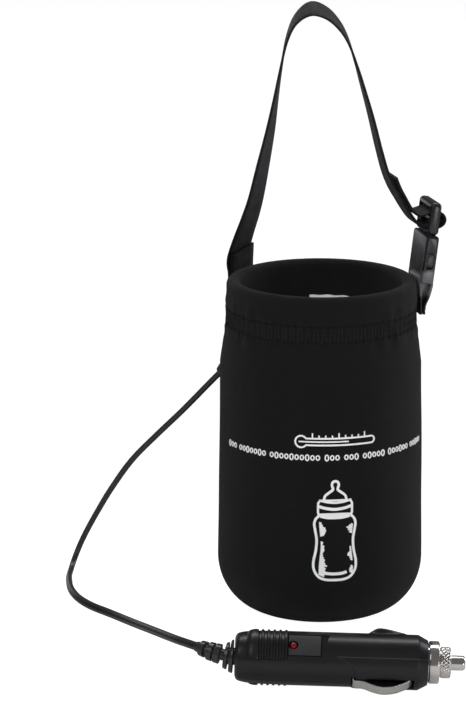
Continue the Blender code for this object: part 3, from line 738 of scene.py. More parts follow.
def sleeve_shell():
    reach = SLEEVE_RADIUS - FLAT_RADIUS
    outside = [(0.0, 0.0), (8.0, 0.0), (16.0, 0.0)]
    outside += [(FLAT_RADIUS + reach * sin(a), CORNER_HEIGHT * (1 - cos(a))) for a in arc(0, 90, 18)]
    levels = [26, 31, *range(37, 87, 7), 92, 97, 101, 105, 108, *(110.5 + 0.8 * k for k in range(18))]
    outside += [(side_radius(level), level) for level in levels] + [(side_radius(SHELL_TOP) - 0.1, SHELL_TOP)]
    inside = [(side_radius(SHELL_TOP) - SHELL, SHELL_TOP), (side_radius(105) - SHELL, 105),
              (SLEEVE_RADIUS - SHELL, 34), (SLEEVE_RADIUS - SHELL, 22)]
    inside += [(FLAT_RADIUS + (reach - SHELL) * sin(a), CORNER_HEIGHT - (CORNER_HEIGHT - SHELL) * cos(a))
               for a in arc(72, 0, 4)]
    inside.append((0.0, SHELL))
    share = [ease(height / 12) for radius, height in outside] + [0.0] * len(inside)
    cloth("sleeve_shell", outside + inside, share, "outer_shell")


def sleeve_collar():
    """Folded band: outer leg, round rim and inner leg, sewn to the sleeve along its lower edge."""
    centre, top = COLLAR_RADIUS - RIM_ROUND, RIM_HEIGHT - RIM_ROUND
    outer = [(COLLAR_RADIUS - 0.1, 125.0)] + [(COLLAR_RADIUS, 125.6 + 0.85 * k) for k in range(12)]
    rim = [(centre + RIM_ROUND * cos(a), top + RIM_ROUND * sin(a)) for a in arc(0, 180, 12)]
    inner = [(COLLAR_INNER, height) for height in (134, 131, 128, 125, 122.4, 119.4)]
    inner += [(COLLAR_INNER + 0.4, 119.0), (COLLAR_INNER + 2.0, 119.0), (COLLAR_INNER + 2.4, 119.4)]
    inner += [(COLLAR_INNER + 2.4, SHELL_TOP)]
    share = [1.0] * (len(outer) + 2) + [0.5] * (len(rim) - 4) + [0.25] * 2 + [0.15] * 6 + [0.0] * 4
    cloth("sleeve_collar", outer + rim + inner, share, "collar")


def on_seam(angle, height, lift):
    """Point just off the cloth near the seam."""
    radius = (side_radius(height) if height < SHELL_TOP else COLLAR_RADIUS) + pucker(radians(angle), height)
    return radial(angle, radius + slack(radians(angle), height) + lift, height)


def seam_thread():
    """Flat seam: two rows of needle stitches with the looper thread laced between them."""
    low, high = SEAM_LOW + 0.4, SEAM_HIGH - 0.4
    pitch = 360 / STITCHES
    stitch = [(0.10, -0.25), (0.22, 0.12), (0.5, 0.2), (0.78, 0.12), (0.9, -0.25)]
    lines = []
    lace = []
    for k in range(STITCHES):
        start = k * pitch
        for height in (low, high):
            lines.append([on_seam(start + pitch * t, height, lift) for t, lift in stitch])
        stray = 0.22 * grain((k * 1.7, 0.0, 2.0), 0.9)
        loop = [(0.02, low + 0.2), (0.10 + stray, SEAM_MIDDLE), (0.16, high - 0.7), (0.30, high - 0.2),
                (0.46, high - 0.7), (0.50 - stray, SEAM_MIDDLE), (0.58, low + 0.2), (0.78, low - 0.1)]
        lace += [on_seam(start + pitch * t, height, 0.05) for t, height in loop]
    # loose ends where the seam was finished off
    tails = ((-3.0, SEAM_HIGH + 1.0, 1.7), (2.0, SEAM_HIGH - 2.6, 1.3), (-172.0, SEAM_LOW - 0.2, 1.3))
    for angle, height, reach in tails:
        tail = [(0.0, 0.0, 0.0), (0.6, 0.5, 0.7), (1.8, 0.2, 1.0), (2.4, -0.9, 0.6)]
        lines.append([on_seam(angle + turn, height + rise, reach * share) for turn, rise, share in tail])
    made = threads("seam_thread", lines, 0.22, "thread")
    place(made, "warmer", "thread", "seam_stitching")
    made = threads("seam_looper", [lace], 0.2, "looper")
    place(made, "warmer", "thread")


def upright_seam_thread():
    """Laced stitches down the back of the sleeve and over the collar."""
    lines = []
    height = 24.0
    while height < 118.0:
        lace = [(-1.5, 0.0), (-0.6, 0.5), (0.6, 1.0), (1.5, 1.5), (0.6, 2.0), (-0.6, 2.5), (-1.5, 3.0)]
        lines.append([radial(BACK_SEAM + degrees(x / 41), side_radius(height + z)
                             + upright_seam(radians(BACK_SEAM) + x / 41, height + z)
                             + slack(radians(BACK_SEAM), height + z) + 0.12, height + z) for x, z in lace])
        height += 3.0
    height = 129.5
    while height < 136.0:
        line = []
        for x, z in ((-1.5, 0.0), (0.0, 0.6), (1.5, 1.1)):
            radius = COLLAR_RADIUS + pucker(radians(BACK_SEAM), height + z) - 0.1 * abs(x)
            line.append(radial(BACK_SEAM + degrees(x / 39), radius, height + z))
        lines.append(line)
        height += 2.2
    made = threads("upright_seam_thread", lines, 0.17, "thread")
    place(made, "warmer", "thread")


def sleeve_lining():
    """Padded lining down to the bottle's floor, sewn in under the collar."""
    steps = 120
    floor = 8.6

    def quilted(_, radius, a, height):
        quilt = 0.35 * grain((cos(a) * 36, sin(a) * 36, height), 0.06, 2.0) * min(1.0, radius / 20)
        if height > floor + 1:
            quilt -= 0.35 * bell((degrees(a) - BACK_SEAM) * 0.6, 0.9)
        return max(radius - quilt, 0.0)

    side = [(36.1, 26.0), (36.3, 45.0), (36.2, 65.0), (35.8, 85.0), (35.5, 100.0), (34.6, 110.0),
            (33.7, 116.0)]
    corner = [(22.0 + 14.1 * sin(a), floor + 15.0 * (1 - cos(a))) for a in arc(0, 90, 8)]
    inner = [(0.0, floor), (10.0, floor)] + corner + side + [(33.7, 118.4)]
    outer = [(35.9, 118.4), (38.3, 104.0), (38.9, 62.0), (39.1, 24.0), (33.0, 10.5), (22.0, 6.2), (0.0, 6.2)]
    rows = ring_rows(inner, Matrix(), steps, quilted) + ring_rows(outer, Matrix(), steps)
    lining = skin("sleeve_lining", rows, "lining", closed=True, sharp=60.0)
    place(lining, "warmer", "lining", "inner_lining")


def care_tag():
    """Blank tape sewn flat inside the back of the rim."""
    half = degrees(asin(11.0 / 32.7))
    rows = []
    face = [(32.75, 102.0), (32.55, 106), (32.6, 112), (32.7, 118), (32.75, 122.5), (32.8, 125.0)]
    back = [(32.55, 125.0), (32.45, 122.5), (32.4, 118), (32.3, 112), (32.25, 106), (32.45, 102.0)]
    for radius, height in face + back:
        row = []
        for k in range(25):
            angle = 77.5 - half + 2 * half * k / 24
            curl = 0.25 * sin(k * 0.7 + height * 0.12)
            row.append(radial(angle, radius + curl * 0.4, height + 0.15 * sin(k * 0.9)))
        rows.append(row)
    bm = bmesh.new()
    add_rows(bm, rows, wrap=False, closed=True)
    for column in (0, 24):
        bm.faces.new([bm.verts.new(row[column]) for row in rows])
    tag = make("care_tag", bm, "label")
    place(tag, "warmer", "label_tape", "care_label")


# ---- print: a thermometer, a row of beads and a bottle ----

PRINT_RADIUS = 42.0
PRINT_MIDDLE = -90.0 + degrees(5.0 / PRINT_RADIUS)    # the drawing sits a little right of the front


def ink_stroke(bm, points, width, closed=False, straight=False):
    """Thin raised stroke on the sleeve: points are (distance round from the print's middle, height)."""
    corners = points + points[:1] if closed else points
    if straight:
        line = []
        for a, b in zip(corners, corners[1:]):
            pieces = ceil((Vector(b) - Vector(a)).length)
            line += [Vector(a).lerp(Vector(b), k / pieces) for k in range(pieces)]
        line.append(Vector(corners[-1]))
    else:
        line = [point.to_2d() for point in through([(*corner, 0.0) for corner in corners], 5)]
    if closed:
        line.pop()
    count = len(line)
    rows = []
    for i, point in enumerate(line):
        before = line[i - 1] if closed or i else point
        after = line[(i + 1) % count] if closed or i < count - 1 else point
        ahead = (after - before).normalized()
        side = Vector((-ahead.y, ahead.x)) * width / 2
        row = []
        for edge, lift in ((point + side, -0.1), (point + side * 0.9, 0.2), (point - side * 0.9, 0.2),
                           (point - side, -0.1)):
            angle = radians(PRINT_MIDDLE) + edge.x / PRINT_RADIUS
            radius = side_radius(edge.y) + slack(angle, edge.y) + lift
            row.append(Vector((radius * cos(angle), radius * sin(angle), edge.y)))
        rows.append(row)
    add_rows(bm, rows, closed=closed, caps=not closed)


def rounded(width, height, corner, centre):
    """Points round a rectangle with round corners."""
    points = []
    for quarter, (sx, sz) in enumerate(((1, 1), (-1, 1), (-1, -1), (1, -1))):
        for a in arc(quarter * 90, quarter * 90 + 90, 3):
            points.append((centre[0] + sx * (width / 2 - corner) + corner * cos(a),
                           centre[1] + sz * (height / 2 - corner) + corner * sin(a)))
    return points


def bottle_drawing(bm):
    """Plain nursing bottle, brushed in: body with a slight waist, ring, teat and hatched shading."""
    half = [(3.6, 23.7), (6.6, 25.0), (8.4, 28.0), (8.6, 31.5), (7.7, 36.0), (7.4, 40.5), (8.0, 44.5),
            (8.4, 47.0), (8.0, 49.0), (6.8, 50.4), (5.4, 51.2)]
    body = [(0.0, 23.5)] + half + [(-x, z) for x, z in reversed(half)]
    ink_stroke(bm, body, 1.1, closed=True)
    # hatching: side, place of its edge, least reach, and swells of (reach, height, spread)
    hatching = ((-1, 6.5, 0.5, ((2.6, 29.5, 4.0), (0.7, 37.5, 2.6), (2.6, 45.4, 2.0))),
                (1, 7.4, 0.6, ((1.3, 26.6, 1.6), (1.3, 33.5, 1.3), (1.5, 44.6, 1.3))))
    for side, edge_at, least, swells in hatching:
        for k in range(34):
            height = 26.2 + 0.68 * k
            edge = edge_at - 0.8 * bell(height - 38.5, 6.0)
            reach = least
            for size, middle, spread in swells:
                reach += size * bell(height - middle, spread)
            reach *= 1 + 0.5 * grain((height, side * 9.0, 3.0), 1.1, 5.0)
            if reach > 0.65:
                inner = (side * (edge - reach), height + side * 0.5 * reach)
                ink_stroke(bm, [(side * edge, height), inner], 0.62, straight=True)
    ink_stroke(bm, [(-4.6, 26.6), (-2.0, 26.2), (0.6, 26.1), (3.0, 26.3), (4.8, 26.8)], 1.3)
    ink_stroke(bm, [(-5.9, 50.6), (-2.6, 50.0), (2.4, 50.0), (5.9, 50.6)], 1.5)
    ink_stroke(bm, rounded(13.8, 6.4, 1.6, (0.0, 53.9)), 0.95, closed=True)
    for height, width in ((53.7, 1.3), (56.4, 0.9)):
        ink_stroke(bm, [(-6.6, height + 0.9), (-3.6, height + 0.1), (0.0, height - 0.3), (3.6, height + 0.1),
                        (6.6, height + 0.9)], width)
    teat = [(4.6, 57.4), (4.0, 59.2), (2.3, 60.6), (1.1, 61.5), (1.0, 62.3), (1.4, 63.6), (1.0, 64.8),
            (0.0, 65.2)]
    ink_stroke(bm, teat + [(-x, z) for x, z in reversed(teat[:-1])], 1.1)


def thermometer_drawing(bm):
    """Thermometer lying on its side, with its scale."""
    middle, height = 0.0, 81.6
    left, right = middle - 16.6, middle + 16.6
    bulb = [(left + 2.6 + 2.4 * cos(a), height + 2.4 * sin(a)) for a in arc(35, 325, 24)]
    tube = [(right - 1.4 + 1.4 * cos(a), height + 1.4 * sin(a)) for a in arc(-90, 90, 10)]
    ink_stroke(bm, bulb + tube, 0.75, closed=True, straight=True)
    ink_stroke(bm, [(left + 1.6, height), (left + 22.0, height)], 0.6, straight=True)
    for k in range(9):
        mark, top = left + 7.2 + 2.7 * k, height + (3.6 if k % 4 == 0 else 2.7)
        ink_stroke(bm, [(mark, height + 1.4), (mark, top)], 0.6, straight=True)


def bead_row(bm):
    """Groups of small rings, like beads on a string, along a level line round the front."""
    middle = -51.0
    for group, count in enumerate((3, 7, 10, 3, 3, 5, 6, 5)):
        for k in range(count):
            tall = 1.25 if (k + group) % 3 == 0 else 0.95
            ring = [(middle + 0.72 * cos(a), 75.0 + tall * sin(a)) for a in arc(0, 315, 7)]
            ink_stroke(bm, ring, 0.55, closed=True, straight=True)
            middle += 2.15
        middle += 1.5


def sleeve_print():
    bm = bmesh.new()
    bottle_drawing(bm)
    thermometer_drawing(bm)
    bead_row(bm)
    made = make("sleeve_print", bm, "ink", sharp=50.0)
    place(made, "warmer", "label_tape")


# ---- strap and buckle ----

def handle_strap():
    """One band: folded end sewn on the left, up and over, round the male half's bar, free tail."""
    across = Vector((-sin(radians(STRAP_ANGLE)), cos(radians(STRAP_ANGLE)), 0))
    stations = [(Vector((-32.4, 22.6, 147.0)), across)]
    levels = [(WEB_INNER, 140.0), (WEB_INNER, 131.0), (WEB_INNER, 122.6), (WEB_INNER + 0.28, 121.8),
              (WEB_INNER + 0.7, 121.5), (WEB_OUTER - 0.28, 121.8), (WEB_OUTER, 122.6), (WEB_OUTER, 131.0),
              (WEB_OUTER + 0.2, 138.0)]
    stations += [(radial(STRAP_ANGLE, radius, height), across) for radius, height in levels]
    free = [((-34.2, 24.4, 143.6), (-0.60, -0.80, 0.0)), ((-32.3, 23.0, 151.2), (-0.56, -0.83, 0.0)),
            ((-28.9, 22.0, 161.6), (-0.50, -0.87, 0.0)), ((-26.5, 21.2, 170.5), (-0.43, -0.90, 0.0)),
            ((-23.9, 20.3, 183.2), (-0.36, -0.93, 0.0)), ((-21.1, 19.4, 197.1), (-0.26, -0.97, 0.0)),
            ((-18.8, 18.6, 211.0), (-0.14, -0.99, 0.0)), ((-16.5, 17.8, 225.0), (-0.06, -1.0, 0.0)),
            ((-14.2, 17.2, 236.0), (-0.02, -1.0, -0.03)), ((-10.8, 16.6, 243.8), (0.0, -0.99, -0.12)),
            ((-4.9, 15.9, 248.4), (0.0, -0.97, -0.23)), ((1.6, 15.2, 246.7), (0.0, -0.98, -0.19)),
            ((6.9, 14.5, 241.8), (0.0, -0.99, -0.12)), ((10.7, 13.8, 235.3), (0.02, -1.0, -0.06)),
            ((14.0, 13.1, 226.0), (0.04, -1.0, 0.0)), ((16.4, 12.6, 218.0), (0.08, -1.0, 0.0)),
            ((20.1, 12.0, 205.0), (0.12, -0.99, 0.0)), ((23.5, 11.4, 191.5), (0.15, -0.99, 0.0)),
            ((26.9, 11.0, 180.0), (0.18, -0.98, 0.0))]
    stations += [(Vector(point), Vector(side)) for point, side in free]
    # round the bar, in the buckle's frame: distance out from the sleeve and height
    wrap = [(-15.0, 14.2), (-10.0, 7.8), (-6.5, 4.2), (-3.5, 2.7), (-0.5, 2.7), (2.2, 3.2), (4.2, 4.5),
            (4.9, 6.3), (4.3, 8.1), (2.4, 9.4), (-0.5, 9.6), (-3.5, 8.4), (-6.4, 7.5), (-9.0, 9.1),
            (-11.3, 11.8), (-13.5, 14.9), (-15.5, 17.6), (-17.3, 20.6), (-18.2, 22.4)]
    buckle_across = BUCKLE.col[0].to_3d()
    stations += [(BUCKLE @ Vector((0, out, up)), buckle_across) for out, up in wrap]
    strap = skin("handle_strap", band_rows(stations, WEBBING, WEB_THICK, 5), "webbing", caps=True,
                 sharp=55.0)
    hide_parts("strap_webbing")
    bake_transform(strap)


def strap_tacks():
    """Bar tacks that hold the strap's folded end and the buckle's tab to the collar."""
    lines = []
    for angle, radius, levels in ((STRAP_ANGLE, 42.75, (124.4, 126.6, 132.6, 134.8)),
                                  (BUCKLE_ANGLE, 42.85, (124.2, 126.0))):
        for height in levels:
            swing = 1.6 if angle == BUCKLE_ANGLE and height > 125 else 0.0
            count = 22
            line = [radial(angle, radius + 0.02 + swing * 0.1, height) + at_angle(angle) @ Vector(
                (0.0, -6.2 + 12.4 * k / count, 0.55 if k % 2 else -0.55)) for k in range(count + 1)]
            lines.append(line)
    made = threads("strap_tacks", lines, 0.16, "thread", sides=5)
    place(made, "warmer", "thread")


def buckle_tab():
    """Short loop of webbing that ties the female half to the sleeve."""
    across = BUCKLE.col[0].to_3d()
    up = [(WEB_INNER, 123.6), (WEB_INNER, 127.0), (WEB_INNER - 0.1, 133.0)]
    stations = [(radial(BUCKLE_ANGLE, radius, height), across) for radius, height in up]
    loop = [(-2.3, -19.6), (-1.9, -18.0), (0.0, -17.1), (2.0, -17.9), (2.6, -19.6)]
    stations += [(BUCKLE @ Vector((0, out, high)), across) for out, high in loop]
    down = [(45.3, 135.8), (44.2, 131.4), (42.6, 127.8), (WEB_OUTER, 125.4), (WEB_OUTER, 123.6)]
    stations += [(radial(BUCKLE_ANGLE, radius, height), across) for radius, height in down]
    tab = skin("buckle_loop", band_rows(stations, WEBBING - 0.4, WEB_THICK, 6), "tab", caps=True,
               sharp=55.0)
    place(tab, "warmer", "webbing", "buckle_tab")


def buckle_box(name, wide, thick, low, high, finish, bevel, segments):
    """Box centred on the buckle's pull, between two places along it."""
    return block(name, (-wide, -thick, low), (wide, thick, high), finish, BUCKLE, bevel, segments)


def buckle_socket():
    """Female half: hollow box, open towards the male half, with side windows and the webbing's slot."""
    mould = "socket"
    body = buckle_box("buckle_socket", 9.8, 2.7, -20.2, -0.3, mould, 1.0, 4)
    cavity = buckle_box("cavity", 8.2, 1.6, -14.3, 2.0, mould, 0.3, 2)
    slot = buckle_box("slot", 7.6, 4.0, -18.4, -15.4, mould, 0.5, 2)
    waist = [block("waist", (-7.8, low, -21.2), (7.8, high, -16.8), mould, BUCKLE, 0.3, 2)
             for low, high in ((-4.0, -1.2), (1.2, 4.0))]
    windows = [block("window", (low, -1.45, -14.1), (high, 1.45, -7.2), mould, BUCKLE, 1.1, 4)
               for low, high in ((-11.5, -6.4), (6.4, 11.5))]
    combine(body, [cavity, slot, *waist, *windows], "DIFFERENCE", 0.18)
    place(body, "warmer", "buckle_plastic", "buckle_female")


def buckle_plug():
    """Male half: rounded frame with the strap's bar, and the centre prong."""
    mould = "buckle"
    body = buckle_box("buckle_plug", 9.3, 2.35, 0.0, 13.6, mould, 1.75, 6)
    opening = buckle_box("opening", 7.85, 4.0, 1.8, 11.3, mould, 0.6, 3)
    combine(body, [opening], "DIFFERENCE", 0.25)
    bar = buckle_box("bar", 8.2, 1.1, 5.2, 7.3, mould, 0.5, 3)
    prong = buckle_box("prong", 1.4, 1.3, -13.6, 1.0, mould, 0.5, 3)
    combine(body, [bar, prong], "UNION")
    place(body, "buckle_male", "buckle_plastic", "buckle_male")


def latch_arm(name, node, side, body):
    """Springy latch arm with its catch and rounded thumb pad."""
    outline = [(2.9, -0.5), (4.5, -0.35), (5.2, -3.0), (6.5, -5.4), (7.5, -6.5), (7.7, -7.5), (8.6, -7.6),
               (9.3, -8.0), (9.6, -9.0), (9.7, -10.4), (9.5, -12.0), (9.0, -13.3), (8.1, -13.8), (6.9, -13.0),
               (5.9, -11.1), (5.0, -8.6), (4.2, -5.7), (3.1, -3.2)]
    mirrored = [(side * x, z) for x, z in outline]
    if side < 0:
        mirrored.reverse()
    arm = prism(name, mirrored, -1.3, 1.3, "latch", BUCKLE, 0.3)
    place(arm, body, "buckle_plastic", node)


# ---- lead ----

GROMMET_END = Vector((-41.7, 17.4, 95.2))
CORD_WIDTH = 3.4
CORD_DEEP = 2.4
CORD_ROLL = -15.0          # how far the lead turns on its way to the floor
CORD_ROUTE = [GROMMET_END, (-46.6, 19.5, 89.6), (-57.7, 24.0, 76.8), (-68.1, 28.0, 65.6), (-79.5, 32.5, 52.6),
              (-88.6, 36.6, 38.6), (-94.6, 40.2, 27.6), (-99.0, 42.6, 19.0), (-102.4, 43.2, 11.8),
              (-104.9, 40.9, 5.9), (-106.3, 35.9, 2.5), (-106.8, 29.0, 1.8), (-106.4, 21.5, 1.8),
              (-105.6, 14.0, 1.8), (-103.9, 6.2, 1.8), (-100.6, -2.6, 1.8), (-95.2, -11.8, 1.9),
              (-87.2, -23.0, 2.6), (-78.2, -40.2, 4.9), (-69.0, -61.0, 8.6), (-59.6, -81.8, 12.2),
              (-54.4, -91.0, 13.6), (-50.4, -96.6, 14.2)]


def flat_lead():
    """Twin-core lead: two round insulations with a groove between them, rolled a little as it comes down."""
    line = through(CORD_ROUTE, 4)
    core = CORD_DEEP / 2
    shift = CORD_WIDTH / 2 - core
    section = [(shift + core * cos(a), core * sin(a)) for a in arc(-90, 90, 10)] + [(0.0, core * 0.6)]
    section += [(-shift + core * cos(a), core * sin(a)) for a in arc(90, 270, 10)] + [(0.0, -core * 0.6)]
    rows = []
    side = (line[1] - line[0]).cross(Vector((0, 0, 1)))
    for point, ahead in zip(line, headings(line)):
        side = (side - ahead * side.dot(ahead)).normalized()
        up = side.cross(ahead)
        roll = radians(CORD_ROLL) * ease((60.0 - point.z) / 58.0)
        across, out = side * cos(roll) - up * sin(roll), up * cos(roll) + side * sin(roll)
        rows.append([point + across * x + out * z for x, z in section])
    lead = skin("flat_lead", rows, "jacket", caps=True, sharp=50.0)
    return place(lead, "warmer", "cord_jacket", "cord_lead"), line


def lead_bush():
    """Moulded bush through the sleeve: flange outside, stem inside, short nose turned down."""
    sideways = Matrix.Rotation(radians(90), 4, "Y")
    exit_frame = Matrix.Translation((0, 0, CORD_HEIGHT)) @ at_angle(CORD_ANGLE) @ sideways
    stem = [(0, 39.5), (3.0, 39.5), (3.0, 42.05), (4.3, 42.1), (4.6, 42.3), (4.6, 42.6), (4.3, 42.9),
            (3.0, 43.1), (0, 43.1)]
    bush = turned("lead_bush", stem, "jacket", exit_frame, 48)
    start = radial(CORD_ANGLE, 42.5, CORD_HEIGHT)
    end = GROMMET_END - (GROMMET_END - start).normalized() * 0.2
    nose_frame = (end - start).to_track_quat("Z", "Y").to_matrix().to_4x4()
    nose_frame.translation = start
    length = (end - start).length
    outline = [(0, -0.4), (2.9, -0.4), (2.7, length * 0.5), (2.3, length - 0.3), (2.0, length), (0, length)]
    nose = turned("nose", outline, "jacket", nose_frame, 48)
    combine(bush, [nose], "UNION")
    place(bush, "warmer", "cord_jacket", "cord_grommet")


RELIEF_LENGTH = 16.0


def strain_relief():
    """Segmented rubber sleeve that bends from the plug's axis towards the lead."""
    start = PLUG @ Vector((0, 0, 0))
    back = -PLUG.col[2].to_3d()
    end = Vector(CORD_ROUTE[-1])
    arrive = (Vector(CORD_ROUTE[-2]) - end).normalized()
    end -= arrive * 0.3
    outline = [(-1.0, 3.2), (-0.9, 3.4), (0.5, 3.4), (0.6, 6.3), (0.8, 6.6), (1.7, 6.3), (1.9, 6.0),
               (1.95, 3.4), (2.5, 3.4), (2.55, 5.2), (2.7, 5.45), (3.7, 5.1), (3.85, 4.8), (3.9, 2.3),
               (5.4, 2.3), (5.45, 3.7), (5.6, 3.95), (7.4, 3.85), (7.5, 3.5), (7.6, 2.6), (8.0, 2.6),
               (8.05, 3.5), (8.2, 3.75), (9.9, 3.65), (10.1, 3.4), (10.15, 2.1), (11.3, 2.1), (11.35, 3.0),
               (11.5, 3.25), (13.3, 3.1), (13.45, 2.8), (13.5, 2.1), (RELIEF_LENGTH - 0.3, 2.1),
               (RELIEF_LENGTH, 1.8)]
    reach = (end - start).length / 3
    control = [start, start + back * reach, end + arrive * -reach, end]
    rows = []
    for distance, radius in outline:
        t = distance / RELIEF_LENGTH
        s = 1 - t
        point = (s ** 3 * control[0] + 3 * s * s * t * control[1] + 3 * s * t * t * control[2]
                 + t ** 3 * control[3])
        ahead = (s * s * (control[1] - control[0]) + 2 * s * t * (control[2] - control[1])
                 + t * t * (control[3] - control[2])).normalized()
        side = ahead.cross(Vector((0, 0, 1))).normalized()
        up = side.cross(ahead)
        rows.append([point + (side * cos(a) + up * sin(a)) * radius for a in arc(0, 352.5, 47)])
    relief = skin("plug_strain_relief", rows, "jacket", caps=True, sharp=50.0)
    flange = turned("flange", [(0, 4.6), (6.6, 4.6), (6.6, 3.0), (3.4, 3.0), (3.4, 0.2), (0, 0.2)],
                    "jacket", PLUG, 48)
    combine(relief, [flange], "UNION")
    return place(relief, "warmer", "cord_jacket", "cord_strain_relief")


# ---- plug ----

def turn_from(angle, side):
    """Degrees from one side of the plug to another, in the frame whose X is the lamp's side."""
    return abs((angle - side + 180) % 360 - 180)


RIBS = 5
RIB_START = 10.1
RIB_PITCH = 2.25
RIB_WIDTH = 1.3


def rib_radius(along):
    """Outline of the thumb grip: one nose, then five ribs."""
    nose = [(4.6, 0.0), (4.75, 10.4), (5.1, 10.8), (6.2, 11.45), (7.4, 11.75), (8.6, 11.8), (9.1, 11.6),
            (9.35, 10.6), (9.4, 0.0)]
    if nose[0][0] <= along <= nose[-1][0]:
        return level(nose, along)
    offset = (along - RIB_START) % RIB_PITCH
    if nose[-1][0] < along <= 20.6:
        edge = max(min(offset, RIB_WIDTH - offset), 0.0)
        return 11.15 + 0.6 * ease(edge / 0.35)
    return 0.0


def hump_radius(along):
    points = [(51.0, 9.0), (51.5, 10.4), (52.6, 11.2), (54.0, 12.2), (55.3, 12.75), (56.6, 12.9),
              (58.5, 12.7), (61.0, 12.2), (63.5, 11.6), (66.0, 11.0), (66.9, 10.4), (67.4, 9.0)]
    return level(points, along) if points[0][0] <= along <= points[-1][0] else 0.0


def ledge_start(turn):
    """Where the raised ledge round the contact begins, at a turn away from the contact."""
    return level([(0.0, 47.0), (28.0, 46.5), (47.0, 44.6), (56.0, 42.0), (64.0, 38.6), (180.0, 38.6)], turn)


def housing_radius(base, angle, along):
    """Outer radius of the housing at a place: barrel, grips, hump, contact's ledge and parting line."""
    radius = base
    grip = min(turn_from(angle, 0), turn_from(angle, 180))
    radius += max(rib_radius(along) - base, 0.0) * ease((37.0 - grip) / 1.6)
    hump = turn_from(angle, -90)
    radius += max(hump_radius(along) - base, 0.0) * ease((27.5 - hump) / 6.0)
    contact = turn_from(angle, 90)
    if along > 38.0:
        radius += 0.5 * ease((64.0 - contact) / 2.0) * ease((along - ledge_start(contact)) / 0.9)
    parting = min(contact, hump)
    if along > 0.5:
        radius -= 0.16 * ease((1.1 - parting) / 0.7)
    return radius


def housing_angles():
    """Columns of the housing, closer together where its shape turns a corner."""
    grip, parting, hump = (34.8, 35.4, 36.2, 37.0, 37.6), (0.0, 0.4, 1.1), (21.5, 23.0, 24.5, 26.0, 27.5)
    ledge = (*range(45, 62, 2), 62.4, 62.8, 63.2, 63.6, 64.0)
    marks = {float(k) for k in range(-180, 180, 4)}
    for centre, steps in ((0, grip), (180, grip), (-90, parting + hump), (90, parting + ledge)):
        marks.update(float((centre + side * step + 180) % 360 - 180) for side in (-1, 1) for step in steps)
    return sorted(marks)


def around(radius, angle, along):
    return Vector((radius * cos(radians(angle)), radius * sin(radians(angle)), along))


def plug_housing():
    """Both mouldings of the plug as one closed skin round its hollow."""
    barrel = [(3.9, 0.0), (7.4, 0.0), (7.9, 0.15), (8.8, 0.6), (9.3, 1.4), (9.5, 2.0), (9.8, 3.4)]
    stops = [4.6, 4.66, 4.75, 5.1, 5.6, 6.2, 6.8, 7.4, 8.0, 8.6, 9.1, 9.3, 9.36, 9.41]
    for k in range(RIBS):
        steps = (0.0, 0.1, 0.2, 0.35, 0.65, 0.95, 1.1, 1.2, RIB_WIDTH)
        stops += [RIB_START + RIB_PITCH * k + step for step in steps]
    stops += [20.64, 22.0, 25.0, 29.0, 33.0, 36.0, *(38.0 + 0.4 * k for k in range(26)), 49.6, 51.0, 51.2,
              51.5, 52.6, 54.0, 55.3, 56.6, 58.5, 61.0, 63.5, 66.0, 66.9, 67.1, 67.4, 69.0, 70.4]
    barrel += [(min(10.0 + 0.3 * (z - 5.0) / 5.0, 10.3) if z < 10 else min(10.3 + 0.02 * (z - 10), BARREL), z)
               for z in stops]
    barrel += [(BARREL, 70.9), (10.4, 71.3), (10.1, 71.8), (8.6, 74.65), (8.3, 74.95), (8.0, 75.0)]
    inside = [(7.2, 75.0), (7.2, 72.3), (7.9, 72.3), (7.9, 7.0), (7.2, 5.2), (7.2, 2.6), (3.9, 2.6)]
    side = plug_side(LED_SIDE)
    angles = housing_angles()
    rows = []
    for base, along in barrel:
        row = []
        for angle in angles:
            radius = housing_radius(base, angle, along) if base > 7.5 and along < 75.0 else base
            row.append(side @ around(radius, angle, along))
        rows.append(row)
    for radius, along in inside:
        rows.append([side @ around(radius, angle, along) for angle in angles])
    mould = "plug"
    body = skin("plug_housing", rows, mould, closed=True)
    pocket = block("pocket", (8.5, -4.9, 20.3), (12.5, 4.9, 33.7), mould, side, 0.25, 2)
    wedge = prism("wedge", [(-4.9, 33.5), (-4.9, 36.9), (4.9, 33.6)], -12.6, -9.0, mould,
                  side @ Matrix.Rotation(radians(90), 4, "Z"), 0.0)
    hole = turned("lamp_hole", [(0, 5), (1.95, 5), (1.95, 12), (0, 12)], mould, lamp_frame(), 32)
    ground = plug_side(GROUND_SIDE)
    slots = [block("contact_slot", (6.5, -3.05, low), (13.0, 3.05, high), mould, ground, 0.2, 2)
             for low, high in ((45.2, 46.8), (51.6, 69.6))]
    combine(body, [pocket, wedge, hole, *slots], "DIFFERENCE")
    place(body, "warmer", "plug_plastic", "plug_shell_upper", "plug_shell_lower")


def lamp_frame():
    """Z out of the plug through the lamp's hole."""
    return plug_side(LED_SIDE) @ Matrix.Translation((0, 0, 22.6)) @ Matrix.Rotation(radians(90), 4, "Y")


def indicator():
    """Face plate and red lamp."""
    side = plug_side(LED_SIDE)
    plate = block("indicator_plate", (8.8, -4.5, 20.7), (9.5, 4.5, 33.3), "panel", side, 0.18, 3)
    hole = turned("plate_hole", [(0, 5), (1.95, 5), (1.95, 12), (0, 12)], "panel", lamp_frame(), 32)
    combine(plate, [hole], "DIFFERENCE")
    place(plate, "warmer", "panel_plastic", "led_panel")
    dome = [(1.4 * cos(a), 8.9 + 1.3 * sin(a)) for a in arc(0, 86, 10)]
    lamp = turned("indicator_lamp", [(0, 5.2), (1.4, 5.2), *dome, (0, 10.2)], "lamp", lamp_frame(), 40)
    place(lamp, "warmer", "lamp_red", "led_lamp")
    return [plate, lamp]


